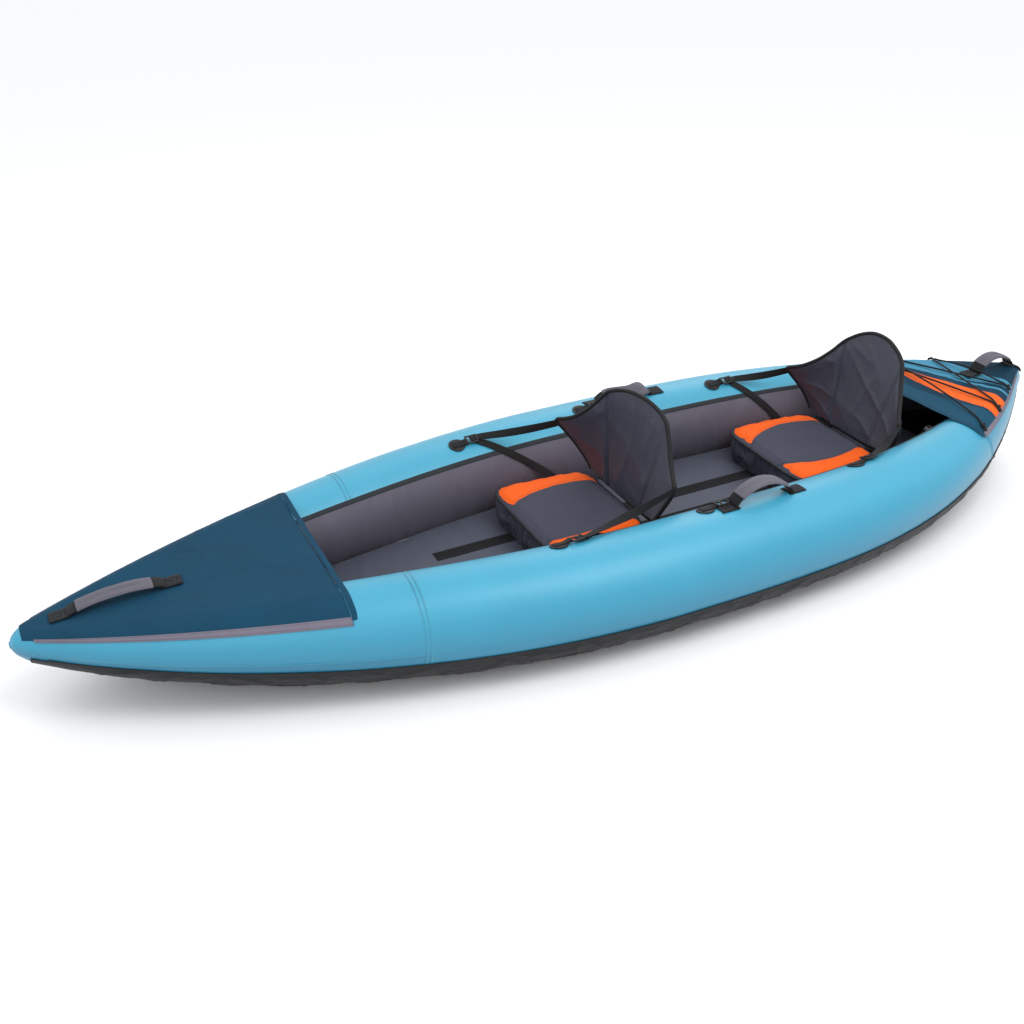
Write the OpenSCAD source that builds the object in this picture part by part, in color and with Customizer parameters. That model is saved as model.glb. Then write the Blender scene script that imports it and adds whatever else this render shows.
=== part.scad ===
// Two-seat inflatable kayak, millimetres.
// +X points to the bow, +Y to port, +Z up. The origin is under the middle of the hull, on the ground.
// Tubes, covers and skins are swept along X from one hull form, each offset from it by its own gap.

/* [Hull form] */
// Overall length
hull_length = 3400; // [3000:10:3800]
// Half beam amidships, without the blunt tip
half_beam = 536; // [480:1:600]
// Half width that is left at the very tips
tip_half_width = 25; // [15:1:35]
// Radius of an inflated side tube amidships
tube_radius = 150; // [130:1:165]
// Height of the tube axis amidships
tube_axis_height = 166; // [150:1:185]
// Rise of the tube axis at the bow
bow_rise = 57; // [30:1:90]
// Rise of the tube axis at the stern
stern_rise = 97; // [60:1:130]
// Share of its radius that a tube loses at the bow
bow_taper = 0.75; // [0.6:0.01:0.8]
// Share of its radius that a tube loses at the stern
stern_taper = 0.71; // [0.6:0.01:0.8]
// Length of the rounded nose at each tip
nose_length = 42; // [30:1:60]

/* [Fabric] */
// Thickness of the coated fabric
fabric = 1.4; // [1:0.1:2]
// Width of the webbing of the four handles
handle_webbing_width = 50; // [40:1:60]
// Width of the webbing of the seat straps
strap_width = 25; // [20:1:30]
// Thickness of all the webbing
webbing = 1.6; // [1.2:0.1:2.2]
// Diameter of the deck bungee
bungee_diameter = 6; // [5:0.5:7]

/* [Floor] */
// Height of the floor's top sheet above the ground
floor_height = 103; // [90:1:112]
// Half length of the inflated floor
floor_half_length = 1225; // [1100:5:1280]
// Distance of each hook-and-loop strip from the centreline
strip_offset = 65; // [50:1:90]
// Width of a hook-and-loop strip
strip_width = 46; // [40:1:52]

/* [Decks] */
// Rear edge of the bow deck
bow_deck_edge = 896; // [860:1:940]
// Front edge of the stern deck at the hems
stern_deck_edge = -1232; // [-1260:1:-1200]
// How far the stern deck's front edge reaches forward at the centreline
stern_deck_bow = 50; // [0:1:60]
// Angle round the tube at which the decks' outer hems are sewn
hem_angle = 44; // [38:1:50]

/* [Seats] */
// Front edge of the front seat
front_seat_x = 270; // [250:1:300]
// Front edge of the rear seat
rear_seat_x = -608; // [-640:1:-590]
// Depth of a seat cushion
seat_depth = 356; // [340:1:380]
// Half width of a seat cushion
seat_half_width = 229; // [210:1:232]
// Height of the crown of a seat cushion above the ground
seat_crown = 204; // [190:1:210]
// Height of a backrest above the cushion, on its centreline
back_height = 340; // [300:1:360]
// Thickness of a backrest's padding
back_thickness = 13; // [10:1:16]

/* [Valves] */
// Bore of an inflation valve
valve_bore_radius = 9.5; // [8:0.5:11]
// Radius of a valve's flange
valve_flange_radius = 23; // [20:1:26]

/* [Hidden] */

half_length = hull_length / 2;

// Layers over the bladder, as offsets from the outer face of the tube covers
bladder_offset = -7;
skin_gap = 1.2;
tape_gap = 0.5;
tape = 1.6;
centre_gap = 0.6;

// Angles round a tube, from 0 outboard, 90 up, 180 inboard and -90 down
binding_angle = 133.7;
binding_half_angle = 3.2;
skin_angle = -19.5;
cover_low_angle = -43;
inner_low_angle = 243;
hem_half_angle = 3.6;

// ---------- the hull form ----------

function share(x) = abs(x) / half_length;
function half_width(x) = x > 0
    ? half_beam * pow(max(1 - pow(share(x), 1.81), 0), 0.935) + tip_half_width
    : half_beam * pow(max(1 - pow(share(x), 3.4), 0), 1.13) + tip_half_width;
function full_radius(x) = tube_radius * (1 - (x > 0 ? bow_taper : stern_taper) * pow(share(x), 2.8));
function nose_share(x) = max(abs(x) - (half_length - nose_length), 0) / nose_length;
blunt = 0.2;
function radius_at(x) = full_radius(x) * sqrt(max(1 - pow(nose_share(x), 2), blunt));
function axis_y(x) = max(half_width(x) - full_radius(x), 0);
function axis_z(x) = tube_axis_height + (x > 0 ? bow_rise : stern_rise) * pow(share(x), 3.3);

// A point of the port tube: a is the angle round it and off the offset from its outer face
function tube_point(x, a, off) = [
    x,
    max(axis_y(x) + (radius_at(x) + off) * cos(a), centre_gap - min(off, 0)),
    axis_z(x) + (radius_at(x) + off) * sin(a)
];

// Height of the bottom skin on the centreline: flat amidships, rising to the tips
flat_share = 0.4;
keel_power = 2.2;
function tip_keel(x) = axis_z(sign(x) * half_length) - full_radius(sign(x) * half_length) - 3;
function keel_z(x) = share(x) <= flat_share ? 0
    : tip_keel(x) * pow((share(x) - flat_share) / (1 - flat_share), keel_power);

// Inner face of a tube at height z, from the centreline
function wall_y(x, z) = let (r = radius_at(x), d = axis_z(x) - z)
    abs(d) < r ? axis_y(x) - sqrt(r * r - d * d) : axis_y(x);

function mix(a, b, t) = a + (b - a) * t;
function spaced(a, b, n) = [for (i = [0:n]) mix(a, b, i / n)];
// Stations along the hull that crowd towards both tips. Nested layers share them, so that they keep their gap.
station_count = 24;
nose_shares = [0.15, 0.52, 0.82, 1];
nose_start = half_length - nose_length;
function nose_stations(side) = [for (n = nose_shares) side * (nose_start + n * nose_length)];
middle_stations = [for (i = [0:station_count]) let (t = 2 * i / station_count - 1)
    mix(t, sin(90 * t), 0.6) * (nose_start - 12)];
function back_again(row) = [for (i = [len(row) - 1:-1:0]) row[i]];
hull_stations = concat(back_again(nose_stations(-1)), middle_stations, nose_stations(1));
least_step = 8;
function within(a, b) = concat([a], [for (x = hull_stations) if (x > a + least_step && x < b - least_step) x], [b]);

// ---------- solids from rows of points ----------

// Turns every face outward, whichever way the rings were given
module closed_solid(points, faces) {
    volume = [for (f = faces) cross(points[f[0]], points[f[1]]) * points[f[2]]] * [for (f = faces) 1];
    polyhedron(points, volume < 0 ? faces : [for (f = faces) back_again(f)]);
}

// Joins rings of the same length into one closed solid. The ends of a sheet are filled in strips from its
// outer row to its inner row, the ends of a round one in a fan.
module sweep(rings, fan = false) {
    m = len(rings[0]);
    n = len(rings);
    // The inner row's diagonals run as the outer row's do, so that a twisted ribbon keeps its thickness
    sides = [for (i = [0:n - 2], j = [0:m - 1]) let (k = (j + 1) % m, a = i * m + j, b = i * m + k)
        each !fan && j >= m / 2 ? [[a, b, a + m], [b, b + m, a + m]] : [[a, b, b + m], [a, b + m, a + m]]];
    end = fan ? [for (j = [1:m - 2]) [0, j + 1, j]]
        : [for (j = [0:m / 2 - 2]) each [[j, m - 1 - j, m - 2 - j], [j, m - 2 - j, j + 1]]];
    far = (n - 1) * m;
    closed_solid([for (r = rings) each r],
        concat(sides, end, [for (f = end) [f[0] + far, f[2] + far, f[1] + far]]));
}

// One ring of a sheet: its outer row there, then its inner row back
function sheet_rings(outer, inner) = [for (i = [0:len(outer) - 1]) concat(outer[i], back_again(inner[i]))];

// A part of the port tube's skin between two angles and two offsets
module tube_skin(xs, angles, low, high) {
    sweep(sheet_rings(
        [for (x = xs) [for (a = angles) tube_point(x, a, high)]],
        [for (x = xs) [for (a = angles) tube_point(x, a, low)]]));
}

module on_side(side) {
    if (side > 0) children();
    else mirror([0, 1, 0]) children();
}

function unit(v) = v / norm(v);

// ---------- tubes and covers ----------

bladder_end = 52;
bladder_xs = within(-half_length + bladder_end, half_length - bladder_end);

module tube_bladder() {
    sweep([for (x = bladder_xs) [for (a = [0:18:342]) tube_point(x, a, bladder_offset)]], fan = true);
}

module outer_cover() {
    tube_skin(hull_stations, spaced(cover_low_angle, binding_angle - 0.3, 12), -fabric, 0);
}

// The inner panels run to where the tubes meet
inner_xs = within(-half_length + 150, half_length - 200);

module inner_cover() {
    tube_skin(inner_xs, spaced(binding_angle + 0.3, inner_low_angle, 8), -fabric, 0);
}

binding_xs = [for (x = hull_stations) if (x > stern_deck_edge - 130 && x < bow_deck_edge + 130) x];

module binding() {
    tube_skin(binding_xs, spaced(binding_angle - binding_half_angle, binding_angle + binding_half_angle, 1),
        tape_gap, tape_gap + tape);
}

module port_tube_bladder() { color("gainsboro") tube_bladder(); }
module starboard_tube_bladder() { color("gainsboro") on_side(-1) tube_bladder(); }
module port_outer_cover() { color("deepskyblue") outer_cover(); }
module starboard_outer_cover() { color("deepskyblue") on_side(-1) outer_cover(); }
module port_inner_cover() { color("slategray") inner_cover(); }
module starboard_inner_cover() { color("slategray") on_side(-1) inner_cover(); }
module port_binding() { color("black") binding(); }
module starboard_binding() { color("black") on_side(-1) binding(); }

// ---------- bottom skin and floor ----------

// Half of the bottom skin's section, from high on the outboard side of the port tube to the centreline
skin_turns = 6;
least_axis = 8;
function skin_axis_y(x) = max(axis_y(x), least_axis);
function skin_low_z(x, off) = axis_z(x) - full_radius(x) - off;
function skin_half(x, off) = let (r = full_radius(x) + off, z0 = skin_low_z(x, off))
    concat(
        [for (a = spaced(skin_angle, -90, skin_turns)) [x, skin_axis_y(x) + r * cos(a), axis_z(x) + r * sin(a)]],
        [for (t = [0.12, 0.25]) [x, skin_axis_y(x) * (1 - t),
            mix(z0, keel_z(x) + skin_gap + fabric - off, (1 - cos(180 * t / 0.25)) / 2)]],
        [[x, skin_axis_y(x) * 0.4, keel_z(x) + skin_gap + fabric - off]]);
function mirrored(row) = [for (i = [len(row) - 1:-1:0]) [row[i][0], -row[i][1], row[i][2]]];
function skin_row(x, off) = concat(skin_half(x, off), mirrored(skin_half(x, off)));
skin_xs = within(-half_length + 44, half_length - 40);

module hull_bottom() {
    color("dimgray")
        sweep(sheet_rings([for (x = skin_xs) skin_row(x, skin_gap)],
            [for (x = skin_xs) skin_row(x, skin_gap + fabric)]));
}

floor_xs = within(-floor_half_length, floor_half_length);
floor_gap = 3;
// Half width of the floor at height z, clear of the tube covers and of the skin's rounded corner
function floor_half(x, z) = min(wall_y(x, z), skin_axis_y(x) * 0.74) - floor_gap;
function floor_side(x, top) = let (low = keel_z(x) + skin_gap + fabric + 1.5) [
    for (t = [0, 0.1, 0.5, 0.9, 1]) let (z = mix(low, top, t))
        [x, floor_half(x, z) - ((t == 0 || t == 1) ? 7 : 0), z]];
function floor_ring(x, top) = concat(floor_side(x, top), mirrored(floor_side(x, top)));

module floor_bladder() {
    color("gainsboro") sweep([for (x = floor_xs) floor_ring(x, floor_height - fabric - 0.8)]);
}

module floor_cover() {
    color("slategray") sweep([for (x = floor_xs) let (w = floor_half(x, floor_height) - 1, low = floor_height - fabric)
        [[x, -w, low], [x, w, low], [x, w, floor_height], [x, -w, floor_height]]]);
}

strip_start = -905;
strip_end = 508;
strip_gap = 0.3;

module floor_strip(side) {
    translate([strip_start, side * strip_offset - strip_width / 2, floor_height + strip_gap])
        cube([strip_end - strip_start, strip_width, webbing]);
}

module port_floor_strip() { color("black") floor_strip(1); }
module starboard_floor_strip() { color("black") floor_strip(-1); }

// ---------- decks ----------

// Half of a deck's section: from the hem over the top of the tube, then level to the centreline
deck_turns = 4;
function deck_half(x, off) = concat(
    [for (a = spaced(hem_angle, 90, deck_turns)) tube_point(x, a, off)],
    axis_y(x) > 12 ? [[x, axis_y(x) * 0.45, axis_z(x) + radius_at(x) + off]]
        : [[x, centre_gap / 2, axis_z(x) + radius_at(x) + off + 0.2]]);
function deck_row(x, off) = concat(deck_half(x, off), mirrored(deck_half(x, off)));

// A deck's row at x, each of its points moved along the hull's surface by shift
function shifted_row(x, off, shift) = let (row = deck_row(x, off))
    [for (i = [0:len(row) - 1]) deck_row(x + shift(row[i], x), off)[i]];

module deck(xs, shift) {
    sweep(sheet_rings([for (x = xs) shifted_row(x, skin_gap + fabric, shift)],
        [for (x = xs) shifted_row(x, skin_gap, shift)]));
}

bow_deck_xs = within(bow_deck_edge, half_length - 32);
stern_deck_xs = within(-half_length + 28, stern_deck_edge);
no_shift = function (p, x) 0;
// The stern deck's free edge is curved: it reaches furthest forward at the centreline
curve_reach = 150;
curved_edge = function (p, x) let (near = max(x - stern_deck_edge + curve_reach, 0) / curve_reach)
    stern_deck_bow * near * (1 - pow(p[1] / tube_point(x, hem_angle, skin_gap + fabric)[1], 2));

module bow_deck() { color("teal") deck(bow_deck_xs, no_shift); }
module stern_deck() { color("teal") deck(stern_deck_xs, curved_edge); }

module deck_hem(xs) {
    for (side = [1, -1]) on_side(side)
        tube_skin(xs, spaced(hem_angle - hem_half_angle, hem_angle + hem_half_angle, 1),
            skin_gap + fabric + tape_gap, skin_gap + fabric + tape_gap + 1);
}

module bow_deck_hem() { color("gray") deck_hem(bow_deck_xs); }
module stern_deck_hem() { color("gray") deck_hem(stern_deck_xs); }

// Height of a deck's upper face on the centreline
function deck_z(x) = axis_z(x) + radius_at(x) + skin_gap + fabric;

// ---------- deck bungee ----------

// Loops along the stern deck's hems, as [x, side, angle round the tube]
loops = [[-1243, 1, 60], [-1383, 1, 60], [-1520, 1, 65], [-1459, -1, 68], [-1317, -1, 62], [-1247, -1, 60]];
// Order in which the bungee passes the loops
lacing = [0, 4, 2, 3, 1, 5];
bungee_lift = 5.2;

function sided(p, side) = [p[0], side * p[1], p[2]];
function loop_point(i, off) = sided(tube_point(loops[i][0], loops[i][2], off), loops[i][1]);
function bungee_knee(i) = loop_point(i, skin_gap + fabric + bungee_lift);
// A point over the tube at loop i, part of the way round to its top, on the run towards loop j
function bungee_over(i, j, t) = let (p = loops[i], x = mix(p[0], loops[j][0], 0.12 * t))
    sided(tube_point(x, mix(p[2], 90, t), skin_gap + fabric + bungee_lift), p[1]);
// A run from loop i to loop j over the top of both tubes, lifted by bump at its middle
function bungee_run(i, j, bump) = let (a = bungee_over(i, j, 1), b = bungee_over(j, i, 1)) concat(
    [bungee_knee(i), bungee_over(i, j, 0.5), a],
    [for (t = [0.2, 0.4, 0.6, 0.8]) mix(a, b, t) + [0, 0, bump * sin(180 * t)]],
    [b, bungee_over(j, i, 0.5)]);
bungee_bumps = [11, 1, 11, 1, 3];
bungee_points = concat([for (k = [0:4]) each bungee_run(lacing[k], lacing[k + 1], bungee_bumps[k])],
    [bungee_knee(lacing[5])]);

// A cord of eight sides through points; each ring is square to the line through its neighbours
module cord(points, radius) {
    n = len(points);
    sweep([for (i = [0:n - 1]) let (
        d = unit(points[min(i + 1, n - 1)] - points[max(i - 1, 0)]),
        w = unit(cross(d, [0, 0, 1])), v = cross(d, w))
        [for (a = [0:45:315]) points[i] - w * radius * cos(a) + v * radius * sin(a)]]);
}

module deck_bungee() { color("black") cord(bungee_points, bungee_diameter / 2); }

// Flat webbing tags under the bungee's turns
module bungee_loops() {
    color("black") for (l = loops)
        on_side(l[1]) tag(l[0], l[2] - 2.5, 5, 20);
}

// A tag of webbing lying on a deck over the tube
module tag(x, a, half_angle, width) {
    low = skin_gap + fabric + 0.6;
    tube_skin([x - width / 2, x + width / 2], [a - half_angle, a, a + half_angle - 2], low, low + 0.9);
}

// ---------- handles ----------

// One row a handle: forward end, aft end, crown height, start and end of the grip, lean outboard (+) or inboard (-)
bow_handle = [1548, 1296, 20, 0.1, 0.88, 0];
stern_handle = [-1500, -1652, 46, 0.12, 0.88, 0];
port_handle = [-228, -424, 54, 0.1, 0.9, 0];
starboard_handle = [-228, -424, 48, 0.1, 0.9, -50];
side_handle_angle = 95;
grip_width = handle_webbing_width + 6;
grip_wall = 2.2;
grip_clearance = 0.9;
tab_length = 46;
foot_lift = 4.2;

function arch(t) = pow(max(sin(180 * t), 0), 0.62);
function deck_foot(x) = [x, 0, deck_z(x) + foot_lift];
function side_foot(x) = tube_point(x, side_handle_angle, foot_lift);
// A handle lies flat at its feet and leans most at its crown
function leaning(h, t) = h[5] * max(sin(180 * t), 0);
// A point of a handle's webbing at share t of its span, from its two feet
function handle_point(feet, h, t) = let (lean = leaning(h, t))
    mix(feet[0], feet[1], t) + h[2] * arch(t) * [0, sin(lean), cos(lean)];
function deck_feet(h) = [deck_foot(h[0]), deck_foot(h[1])];
function side_feet(h) = [side_foot(h[0]), side_foot(h[1])];

// Rings of a strip that follows a handle's arch between two shares of its span
function arch_rings(feet, h, from, to, steps, width, thick) = [for (t = spaced(from, to, steps)) let (
    c = handle_point(feet, h, t), lean = leaning(h, t),
    d = unit(handle_point(feet, h, t + 0.01) - handle_point(feet, h, t - 0.01)),
    across = [0, cos(lean), -sin(lean)], w = unit(across - (across * d) * d) * width / 2,
    n = unit(cross(d, w)) * thick / 2)
    [c - w - n, c + w - n, c + w + n, c - w + n]];

// A pipe between outer and inner rings, open at both ends
module sleeve(outer, inner) {
    m = len(outer[0]);
    n = len(outer);
    count = n * m;
    walls = [for (i = [0:n - 2], j = [0:m - 1]) let (a = i * m + j, b = i * m + (j + 1) % m,
        strip = j >= m / 2 ? [[a, b, a + m], [b, b + m, a + m]] : [[a, b, b + m], [a, b + m, a + m]])
        each concat(strip, [for (f = strip) [f[0] + count, f[2] + count, f[1] + count]])];
    ends = [for (j = [0:m - 1]) let (k = (j + 1) % m, far = (n - 1) * m) each [
        [j, j + count, k + count], [j, k + count, k],
        [j + far, k + count + far, j + count + far], [j + far, k + far, k + count + far]]];
    closed_solid(concat([for (r = outer) each r], [for (r = inner) each r]), concat(walls, ends));
}

handle_steps = 22;
module handle_webbing(feet, h) {
    color("black") sweep(arch_rings(feet, h, 0.02, 0.98, handle_steps, handle_webbing_width, webbing));
}
// The grip is a padded sleeve round the webbing
module handle_grip(feet, h) {
    bore = webbing + 2 * grip_clearance;
    color("gray") sleeve(
        arch_rings(feet, h, h[3], h[4], handle_steps, grip_width, bore + 2 * grip_wall),
        arch_rings(feet, h, h[3], h[4], handle_steps, handle_webbing_width + 2 * grip_clearance, bore));
}

module bow_handle_webbing() { handle_webbing(deck_feet(bow_handle), bow_handle); }
module bow_handle_grip() { handle_grip(deck_feet(bow_handle), bow_handle); }
module stern_handle_webbing() { handle_webbing(deck_feet(stern_handle), stern_handle); }
module stern_handle_grip() { handle_grip(deck_feet(stern_handle), stern_handle); }
module port_handle_webbing() { handle_webbing(side_feet(port_handle), port_handle); }
module port_handle_grip() { handle_grip(side_feet(port_handle), port_handle); }
module starboard_handle_webbing() { on_side(-1) handle_webbing(side_feet(starboard_handle), starboard_handle); }
module starboard_handle_grip() { on_side(-1) handle_grip(side_feet(starboard_handle), starboard_handle); }

// The sewn-down ends of the handles: on the decks they are flat, on the tubes they follow the curve
module deck_tab(x, direction) {
    sweep([for (t = spaced(-0.6, 0.4, 3)) let (q = x + direction * t * tab_length, z = deck_z(q) + 0.6)
        [[q, -handle_webbing_width / 2, z], [q, handle_webbing_width / 2, z],
            [q, handle_webbing_width / 2, z + webbing], [q, -handle_webbing_width / 2, z + webbing]]]);
}
module side_tab(x, direction) {
    half_angle = handle_webbing_width / 2 / tube_radius * 180 / PI;
    xs = direction > 0 ? [x - 0.4 * tab_length, x + 0.6 * tab_length]
        : [x - 0.6 * tab_length, x + 0.4 * tab_length];
    tube_skin(xs, spaced(side_handle_angle - half_angle, side_handle_angle + half_angle, 4), 0.8, 0.8 + webbing);
}

module handle_tabs() {
    color("black") {
        for (h = [bow_handle, stern_handle]) {
            deck_tab(h[0], sign(h[0] - h[1]));
            deck_tab(h[1], sign(h[1] - h[0]));
        }
        for (side = [1, -1]) on_side(side) {
            h = side > 0 ? port_handle : starboard_handle;
            side_tab(h[0], 1);
            side_tab(h[1], -1);
        }
    }
}

// ---------- strap anchors ----------

// Anchors on top of the tubes, as [x, side, angle round the tube]
front_port_anchor = [298, 1, 106];
front_starboard_anchor = [308, -1, 108];
rear_port_anchor = [-706, 1, 108];
rear_starboard_anchor = [-654, -1, 107];
middle_port_anchor = [-152, 1, 103];
middle_starboard_anchor = [-152, -1, 103];
anchors = [front_port_anchor, front_starboard_anchor, rear_port_anchor, rear_starboard_anchor,
    middle_port_anchor, middle_starboard_anchor];
patch_radius = 27;
patch_thickness = 2.4;
patch_lift = 1.6;

// Places children on a tube: their z is its outward normal and their x runs aft, as the straps do
module at_anchor(a, ahead, lift) {
    x = a[0] - ahead;
    on_side(a[1]) translate(tube_point(x, a[2], lift)) rotate([a[2] - 90, 0, 0]) rotate([0, 0, 180]) children();
}

module anchor_patches() {
    color("black") for (a = anchors) at_anchor(a, 0, 0) {
        intersection() {
            translate([0, 0, -20]) cylinder(r = patch_radius, h = 40, $fn = 48);
            patch_shell();
        }
    }
}

// A curved plate that lies round the tube, cut to discs for the patches
module patch_shell() {
    half_angle = patch_radius / tube_radius * 180 / PI + 2;
    translate([-40, 0, -tube_radius]) rotate([0, 90, 0]) rotate([0, 0, 180 - half_angle])
        rotate_extrude(angle = 2 * half_angle, $fn = 96)
            translate([tube_radius + patch_lift, 0]) square([patch_thickness, 80]);
}

tab_from = 16;
tab_to = 36;
buckle_length = 40;
buckle_width = 34;
buckle_thickness = 5;
buckle_centre = 52;
buckle_lift = 7.5;
bar = 6;

// A short tab of webbing from the patch to the buckle
module anchor_tabs() {
    color("black") for (a = anchors) at_anchor(a, 0, patch_lift + patch_thickness + 0.5)
        translate([tab_from - 6, -strap_width / 2, 0]) cube([tab_to - tab_from, strap_width, webbing]);
}

// Ladder-lock: a frame with two slots for the webbing, and a raised lip at its free end
module buckle() {
    slot = (buckle_length - 3 * bar) / 2;
    difference() {
        translate([-buckle_length / 2, -buckle_width / 2, 0]) cube([buckle_length, buckle_width, buckle_thickness]);
        for (k = [0, 1])
            translate([-buckle_length / 2 + bar + k * (bar + slot), -buckle_width / 2 + 4, -1])
                cube([slot, buckle_width - 8, buckle_thickness + 2]);
    }
    translate([buckle_length / 2 - bar, -buckle_width / 2 + 4, buckle_thickness])
        rotate([-90, 0, 0]) cylinder(r = 2.2, h = buckle_width - 8, $fn = 24);
}

module anchor_buckle(a) { color("black") at_anchor(a, buckle_centre, buckle_lift) buckle(); }

module front_port_buckle() { anchor_buckle(front_port_anchor); }
module front_starboard_buckle() { anchor_buckle(front_starboard_anchor); }
module rear_port_buckle() { anchor_buckle(rear_port_anchor); }
module rear_starboard_buckle() { anchor_buckle(rear_starboard_anchor); }
module middle_port_buckle() { anchor_buckle(middle_port_anchor); }
module middle_starboard_buckle() { anchor_buckle(middle_starboard_anchor); }

// ---------- seat cushions ----------

// One row a seat: front edge, offset of its middle to port
front_seat = [front_seat_x, 9];
rear_seat = [rear_seat_x, 4];
seat_low = floor_height + strip_gap + webbing + 0.6;
seat_sides = 28;
seat_corner = 4.5;

function superellipse(a, n) = let (c = cos(a), s = sin(a), k = pow(pow(abs(c), n) + pow(abs(s), n), -1 / n))
    [c * k, s * k];
// A cushion's outline at one height; scale draws it in, and inset takes fabric off
function seat_ring(seat, scale, z, inset) = [for (i = [0:seat_sides - 1])
    let (e = superellipse(i * 360 / seat_sides, seat_corner), aft = max(-e[0], 0))
        [seat[0] - seat_depth / 2 + e[0] * (seat_depth / 2 * scale - inset),
            seat[1] + e[1] * (seat_half_width * scale - inset) * (1 - seat_tuck * aft), z]];
// Half width of a cushion at a share of its depth behind its front edge
seat_tuck = 0.1;
function seat_side(share) = let (e = 1 - 2 * share)
    seat_half_width * pow(1 - pow(abs(e), seat_corner), 1 / seat_corner) * (1 - seat_tuck * max(-e, 0));
// Levels of a cushion as [scale, share of its height]
seat_levels = [[0.985, 0], [1, 0.35], [0.995, 0.75], [0.95, 0.87], [0.8, 0.935], [0.5, 0.985], [0.15, 1]];
function seat_rings(seat, inset, low) = [for (l = seat_levels)
    seat_ring(seat, l[0], mix(low, seat_crown - inset, l[1]), inset)];
pad_inset = fabric + 0.8;

module seat_cover(seat) {
    sweep(concat(back_again(seat_rings(seat, fabric, seat_low)), seat_rings(seat, 0, seat_low)));
}
module seat_pad(seat) { sweep(seat_rings(seat, pad_inset, seat_low + 0.5)); }

module front_seat_cover() { color("darkorange") seat_cover(front_seat); }
module rear_seat_cover() { color("darkorange") seat_cover(rear_seat); }
module front_seat_pad() { color("ivory") seat_pad(front_seat); }
module rear_seat_pad() { color("ivory") seat_pad(rear_seat); }

// The piping at a cushion's rear edge, on which its backrest folds
hinge_z = 193;
hinge_gap = 5;
welt_radius = 3;
welt_half = 120;
function hinge_x(seat) = seat[0] - seat_depth - hinge_gap;
module seat_welt(seat, middle) {
    color("black") translate([hinge_x(seat), middle - welt_half, hinge_z]) rotate([-90, 0, 0])
        cylinder(r = welt_radius, h = 2 * welt_half, $fn = 32);
}

// ---------- backrests ----------

// One row a backrest: middle to port, height at the seams, at the wing tips, half width at the top and at
// the bottom, forward reach of the wings at the top and at the bottom, recline, twist, lean to port
front_back = [34, 303, 178, 220, 190, 68, 18, 0.125, 0.36, -0.15];
rear_back = [6, 282, 162, 230, 194, 96, 18, 0.25, 0.2, -0.09];
seam_share = 0.5;
back_foot = 7;
wing_rise = 20;

// A point of the backrest's middle face: s runs from -1 at starboard to 1 at port, t from 0 up to 1
function back_top(b, s) = let (a = abs(s)) a < seam_share
    ? back_height - (back_height - b[1]) * pow(a / seam_share, 2)
    : mix(b[1], b[2], 1 - pow(max(1 - (a - seam_share) / (1 - seam_share), 0), 1.8));
function back_point(b, seat, s, t) = let (
    foot = back_foot + wing_rise * pow(max((abs(s) - 0.4) / 0.6, 0), 1.3),
    h = mix(foot, back_top(b, s), t),
    y = s * mix(b[4], b[3], min(t * 1.3, 1)),
    wrap = mix(b[6], b[5], pow(max(t, 0), 1.6)) * pow(max((abs(s) - 0.35) / 0.65, 0), 1.6))
    [hinge_x(seat) - b[7] * (h - back_foot) + wrap - b[8] * y * t, b[0] + y, hinge_z + h + b[9] * y * t];
function back_normal(b, seat, s, t) = unit(cross(
    back_point(b, seat, s + 0.02, t) - back_point(b, seat, s - 0.02, t),
    back_point(b, seat, s, t + 0.02) - back_point(b, seat, s, t - 0.02)));
// The padding is full in the middle and thin at the sewn edge
function back_half_thickness(s, t) = back_thickness / 2
    * (0.4 + 0.6 * min(1, 6 * (1 - abs(s))) * min(1, 7 * (1 - t), 0.5 + 5 * t));
function back_row(b, seat, t, side) = [for (s = spaced(-1, 1, 16))
    back_point(b, seat, s, t) + side * back_half_thickness(s, t) * back_normal(b, seat, s, t)];
back_levels = [0, 0.08, 0.2, 0.35, 0.5, 0.65, 0.8, 0.92, 1];

module backrest(b, seat) {
    color("darkslategray") sweep(sheet_rings(
        [for (t = back_levels) back_row(b, seat, t, 1)], [for (t = back_levels) back_row(b, seat, t, -1)]));
}

binding_radius = 4;
binding_clear = 5.6;
// The bound edge: up one wing, over the top and down the other
function back_edge(b, seat) = concat(
    [for (t = [0.04, 0.3, 0.6, 0.85]) back_point(b, seat, -1, t)],
    [for (s = spaced(-1, 1, 16)) back_point(b, seat, s, 1)],
    [for (t = [0.85, 0.6, 0.3, 0.04]) back_point(b, seat, 1, t)]);
function outward(points, i, middle) = let (n = len(points),
    d = unit(points[min(i + 1, n - 1)] - points[max(i - 1, 0)]),
    v = points[i] - middle) unit(v - (v * d) * d);

module backrest_binding(b, seat) {
    edge = back_edge(b, seat);
    middle = back_point(b, seat, 0, 0.35);
    path = [for (i = [0:len(edge) - 1]) edge[i] + outward(edge, i, middle) * binding_clear];
    n = len(path);
    color("black") sweep([for (i = [0:n - 1]) let (
        d = unit(path[min(i + 1, n - 1)] - path[max(i - 1, 0)]),
        w = outward(edge, i, middle), v = cross(d, w))
        [for (a = [0:60:300]) path[i] + w * binding_radius * cos(a) + v * binding_radius * sin(a)]]);
}

module front_backrest() { backrest(front_back, front_seat); }
module rear_backrest() { backrest(rear_back, rear_seat); }
module front_backrest_binding() { backrest_binding(front_back, front_seat); }
module rear_backrest_binding() { backrest_binding(rear_back, rear_seat); }
module front_seat_welt() { seat_welt(front_seat, front_back[0]); }
module rear_seat_welt() { seat_welt(rear_seat, rear_back[0]); }

// ---------- seat straps ----------

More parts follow.
